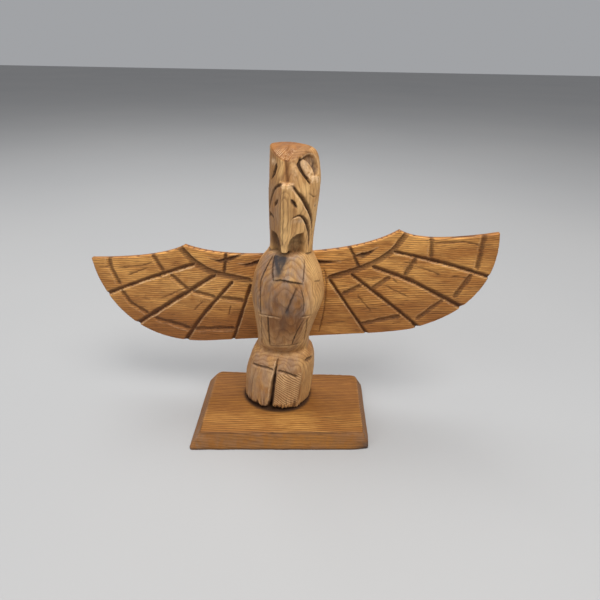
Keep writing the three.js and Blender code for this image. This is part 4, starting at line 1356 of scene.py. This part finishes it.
def wood(name, tones, grain, look):
    """Cedar. Grain is the scales of its streaks along each axis, per metre."""
    s = Shader(name)
    place = s.node("TexCoord", output=3)
    patchy = s.noise(place, grain["patch"], 5.0, 0.7)
    streak = s.noise(place, grain["streak"], 4.0, 0.65)
    fibre = s.noise(place, grain["fibre"], 3.0, 0.6)
    check = s.noise(place, grain["check"], 2.0, 0.5)
    worn = s.noise(place, [300, 300, 120], 4.0, 0.6)
    speckle = s.noise(place, [800, 800, 800], 2.0)
    ember = s.noise(place, [1500, 1500, 1500], 2.0)

    depth = s.math("ADD", s.mark("rings"), s.noise(place, grain["sway"], 3.0))
    turn = s.math("FRACT", s.math("DIVIDE", depth, look["spacing"]))
    late = s.times(s.span(turn, look["late_from"], 0.86), s.span(turn, 1.0, 0.92))
    end_grain = s.mark("end_grain")
    rings = s.math("MULTIPLY_ADD", end_grain, 0.6, look["rings"])
    checks_from = look["checks_from"]
    checks = s.times(s.span(check, checks_from, checks_from + 0.05), look["checks"])
    cut = s.times(s.mark("cut"), 0.95, clamp=True)

    grey = s.mix(fibre, tones["grey"], tones["grey_light"])
    crown = s.mix(s.span(worn, 0.35, 0.65), tones["crown_dark"], tones["crown"])
    floor = s.mix(s.span(ember, 0.35, 0.65), tones["deep"], tones["floor"])
    colour = s.mix(s.span(patchy, 0.35, 0.68), tones["mid"], tones["light"])
    # from the wood's own tones up to the stains, the painted shade and the painted highlights that lie on it
    layers = [
        (s.broken("gold", worn, 0.2, 0.55), tones["gold"]),
        (s.times(s.broken("grey", worn, 0.3, 0.62), 0.85), grey),
        (s.times(end_grain, 0.45), tones["pale"]),
        (s.times(late, rings), tones["late"]),
        (s.times(s.span(streak, 0.47, 0.66), look["streaks"]), tones["dark"]),
        (s.times(s.span(fibre, 0.5, 0.75), look["fibres"]), tones["dark"]),
        (s.times(s.span(fibre, 0.46, 0.25), look["pale"]), tones["pale"]),
        (checks, tones["deep"]),
        (s.times(s.mark("red"), 0.85, clamp=True), crown),
        (s.broken("shade", patchy, 0.1, 0.6), tones["shade"], "MULTIPLY"),
        # the pale lip tone: painted highlights
        (s.times(s.broken("lip", speckle, 0.25, 0.6), 0.85), tones["lip"]),
        # painted shade in cuts and hollows, partly a darker stain
        (cut, floor),
        (s.times(s.broken("soot", worn, 0.05, 0.5), 0.92), tones["soot"]),
    ]
    for share, tone, *blend in layers:
        colour = s.mix(share, colour, tone, *blend)

    height = s.math("ADD", s.times(fibre, 0.6), s.times(streak, 0.5))
    height = s.math("SUBTRACT", height, s.times(checks, 1.5))
    sunken = s.times(late, s.math("MULTIPLY_ADD", end_grain, 1.2, 0.25))
    height = s.math("SUBTRACT", height, sunken)
    bump = s.node("Bump", {"Height": height, "Strength": 0.7, "Distance": look["bump"] * MM})
    gloss = s.math("ADD", s.times(streak, 0.25), look["roughness"] - 0.1)
    gloss = s.math("ADD", gloss, s.times(cut, 0.2), clamp=True)
    inputs = {"Base Color": colour, "Roughness": gloss, "Normal": bump, "Specular IOR Level": look["shine"]}
    s.node("OutputMaterial", {"Surface": s.node("BsdfPrincipled", inputs)})
    return s.material


CEDAR = palette(
    light=(230, 168, 88),
    mid=(178, 116, 50),
    late=(108, 60, 20),
    dark=(90, 48, 14),
    pale=(238, 184, 110),
    deep=(36, 16, 4),
    floor=(94, 50, 14),
    lip=(246, 206, 158),
    grey=(124, 102, 89),
    grey_light=(196, 171, 152),
    gold=(228, 174, 102),
    crown=(146, 88, 26),
    crown_dark=(114, 62, 16),
    soot=(42, 42, 48),
    shade=(186, 164, 138),
)
BODY_TONES = CEDAR | palette(
    light=(224, 176, 112),
    mid=(184, 131, 76),
    gold=(234, 188, 124),
    late=(132, 86, 46),
    dark=(112, 70, 36),
    pale=(240, 200, 148),
    deep=(42, 28, 20),
    floor=(94, 64, 40),
    shade=(166, 140, 114),
)
BLOCK_TONES = CEDAR | palette(
    light=(218, 162, 86),
    mid=(168, 112, 50),
    late=(98, 56, 20),
    dark=(84, 46, 16),
    pale=(226, 174, 104),
    floor=(54, 34, 22),
    shade=(188, 168, 138),
)


def dress(piece, node, material):
    piece.data.materials.append(material)
    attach(piece, "root")
    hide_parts(node)


pole = make_pole()
wings = make_wings()
block = make_block()

POLE_GRAIN = {
    "sway": [260, 260, 60],
    "patch": [110, 110, 60],
    "streak": [1000, 1000, 120],
    "fibre": [3400, 3400, 380],
    "check": [1500, 1500, 55],
}
WING_GRAIN = {
    "sway": [50, 260, 260],
    "patch": [40, 120, 160],
    "streak": [50, 1700, 1700],
    "fibre": [200, 3600, 3600],
    "check": [60, 2400, 2400],
}
POLE_LOOK = {
    "spacing": 1.15,
    "rings": 0.42,
    "late_from": 0.4,
    "streaks": 0.2,
    "fibres": 0.3,
    "pale": 0.3,
    "checks": 0.3,
    "checks_from": 0.68,
    "bump": 0.14,
    "roughness": 0.62,
    "shine": 0.35,
}
WING_LOOK = {
    **POLE_LOOK,
    "spacing": 0.95,
    "rings": 0.8,
    "late_from": 0.62,
    "streaks": 0.35,
    "fibres": 0.35,
    "checks": 0.6,
    "checks_from": 0.65,
    "roughness": 0.56,
    "shine": 0.4,
}
BLOCK_LOOK = {
    **POLE_LOOK,
    "spacing": 1.1,
    "rings": 0.75,
    "checks": 0.5,
    "checks_from": 0.66,
    "bump": 0.08,
    "roughness": 0.58,
    "shine": 0.3,
}
dress(pole, "pole", wood("pole_cedar", BODY_TONES, POLE_GRAIN, POLE_LOOK))
dress(wings, "wings", wood("wing_cedar", CEDAR, WING_GRAIN, WING_LOOK))
dress(block, "block", wood("block_cedar", BLOCK_TONES, WING_GRAIN, BLOCK_LOOK))


# Floor, light and camera: lights have their place, aim and size in metres and their power in watts
LIGHTS = {
    "key": dict(at=(0.25, -0.35, 0.9), aim=(0, 0, 0.06), size=0.5, power=7, tint=(1, 0.98, 0.95)),
    "top": dict(at=(-0.2, 0.25, 0.9), aim=(0, 0, 0.05), size=0.6, power=5, tint=(0.97, 0.99, 1)),
    "fill": dict(at=(-0.7, -0.6, 0.5), aim=(0, 0, 0.07), size=0.7, power=2.5, tint=(0.95, 0.98, 1)),
}


def make_floor():
    bpy.ops.mesh.primitive_plane_add(size=8)
    floor = bpy.context.object
    floor.name = "floor"
    s = Shader("pale_floor")
    soft = s.noise(s.node("TexCoord", output=3), [3, 3, 3], 2.0)
    colour = s.mix(soft, linear(168, 168, 169), linear(178, 177, 176))
    inputs = {"Base Color": colour, "Roughness": 0.85, "Specular IOR Level": 0.2}
    s.node("OutputMaterial", {"Surface": s.node("BsdfPrincipled", inputs)})
    floor.data.materials.append(s.material)


def make_light(name, at, aim, size, power, tint):
    data = bpy.data.lights.new(name, "AREA")
    data.shape = "SQUARE"
    data.size = size
    data.energy = power
    data.color = tint
    light = bpy.data.objects.new(name, data)
    bpy.context.scene.collection.objects.link(light)
    light.location = at
    light.rotation_euler = (Vector(aim) - Vector(at)).to_track_quat("-Z", "Y").to_euler()


def make_camera():
    pitch, roll, yaw = (math.radians(CAMERA[name]) for name in ("pitch", "roll", "yaw"))
    ahead = Vector((math.sin(yaw) * math.cos(pitch), math.cos(yaw) * math.cos(pitch), -math.sin(pitch)))
    level = Vector((math.cos(yaw), -math.sin(yaw), 0))
    upright = level.cross(ahead)
    right = math.cos(roll) * level + math.sin(roll) * upright
    up = math.cos(roll) * upright - math.sin(roll) * level
    data = bpy.data.cameras.new("camera")
    data.lens = CAMERA["lens"]
    data.sensor_width = CAMERA["sensor"]
    data.clip_start = 0.01
    camera = bpy.data.objects.new("camera", data)
    bpy.context.scene.collection.objects.link(camera)
    facing = Matrix((right, up, -ahead)).transposed().to_4x4()
    camera.matrix_world = Matrix.Translation(Vector(CAMERA["at"]) * MM) @ facing
    bpy.context.scene.camera = camera


def make_world():
    world = bpy.data.worlds.new("studio")
    world.use_nodes = True
    background = world.node_tree.nodes["Background"].inputs
    background["Color"].default_value = (0.94, 0.96, 1, 1)
    background["Strength"].default_value = 0.38
    bpy.context.scene.world = world
    bpy.context.scene.view_settings.view_transform = "Standard"


make_floor()
for name, settings in LIGHTS.items():
    make_light(name, **settings)
make_world()
make_camera()
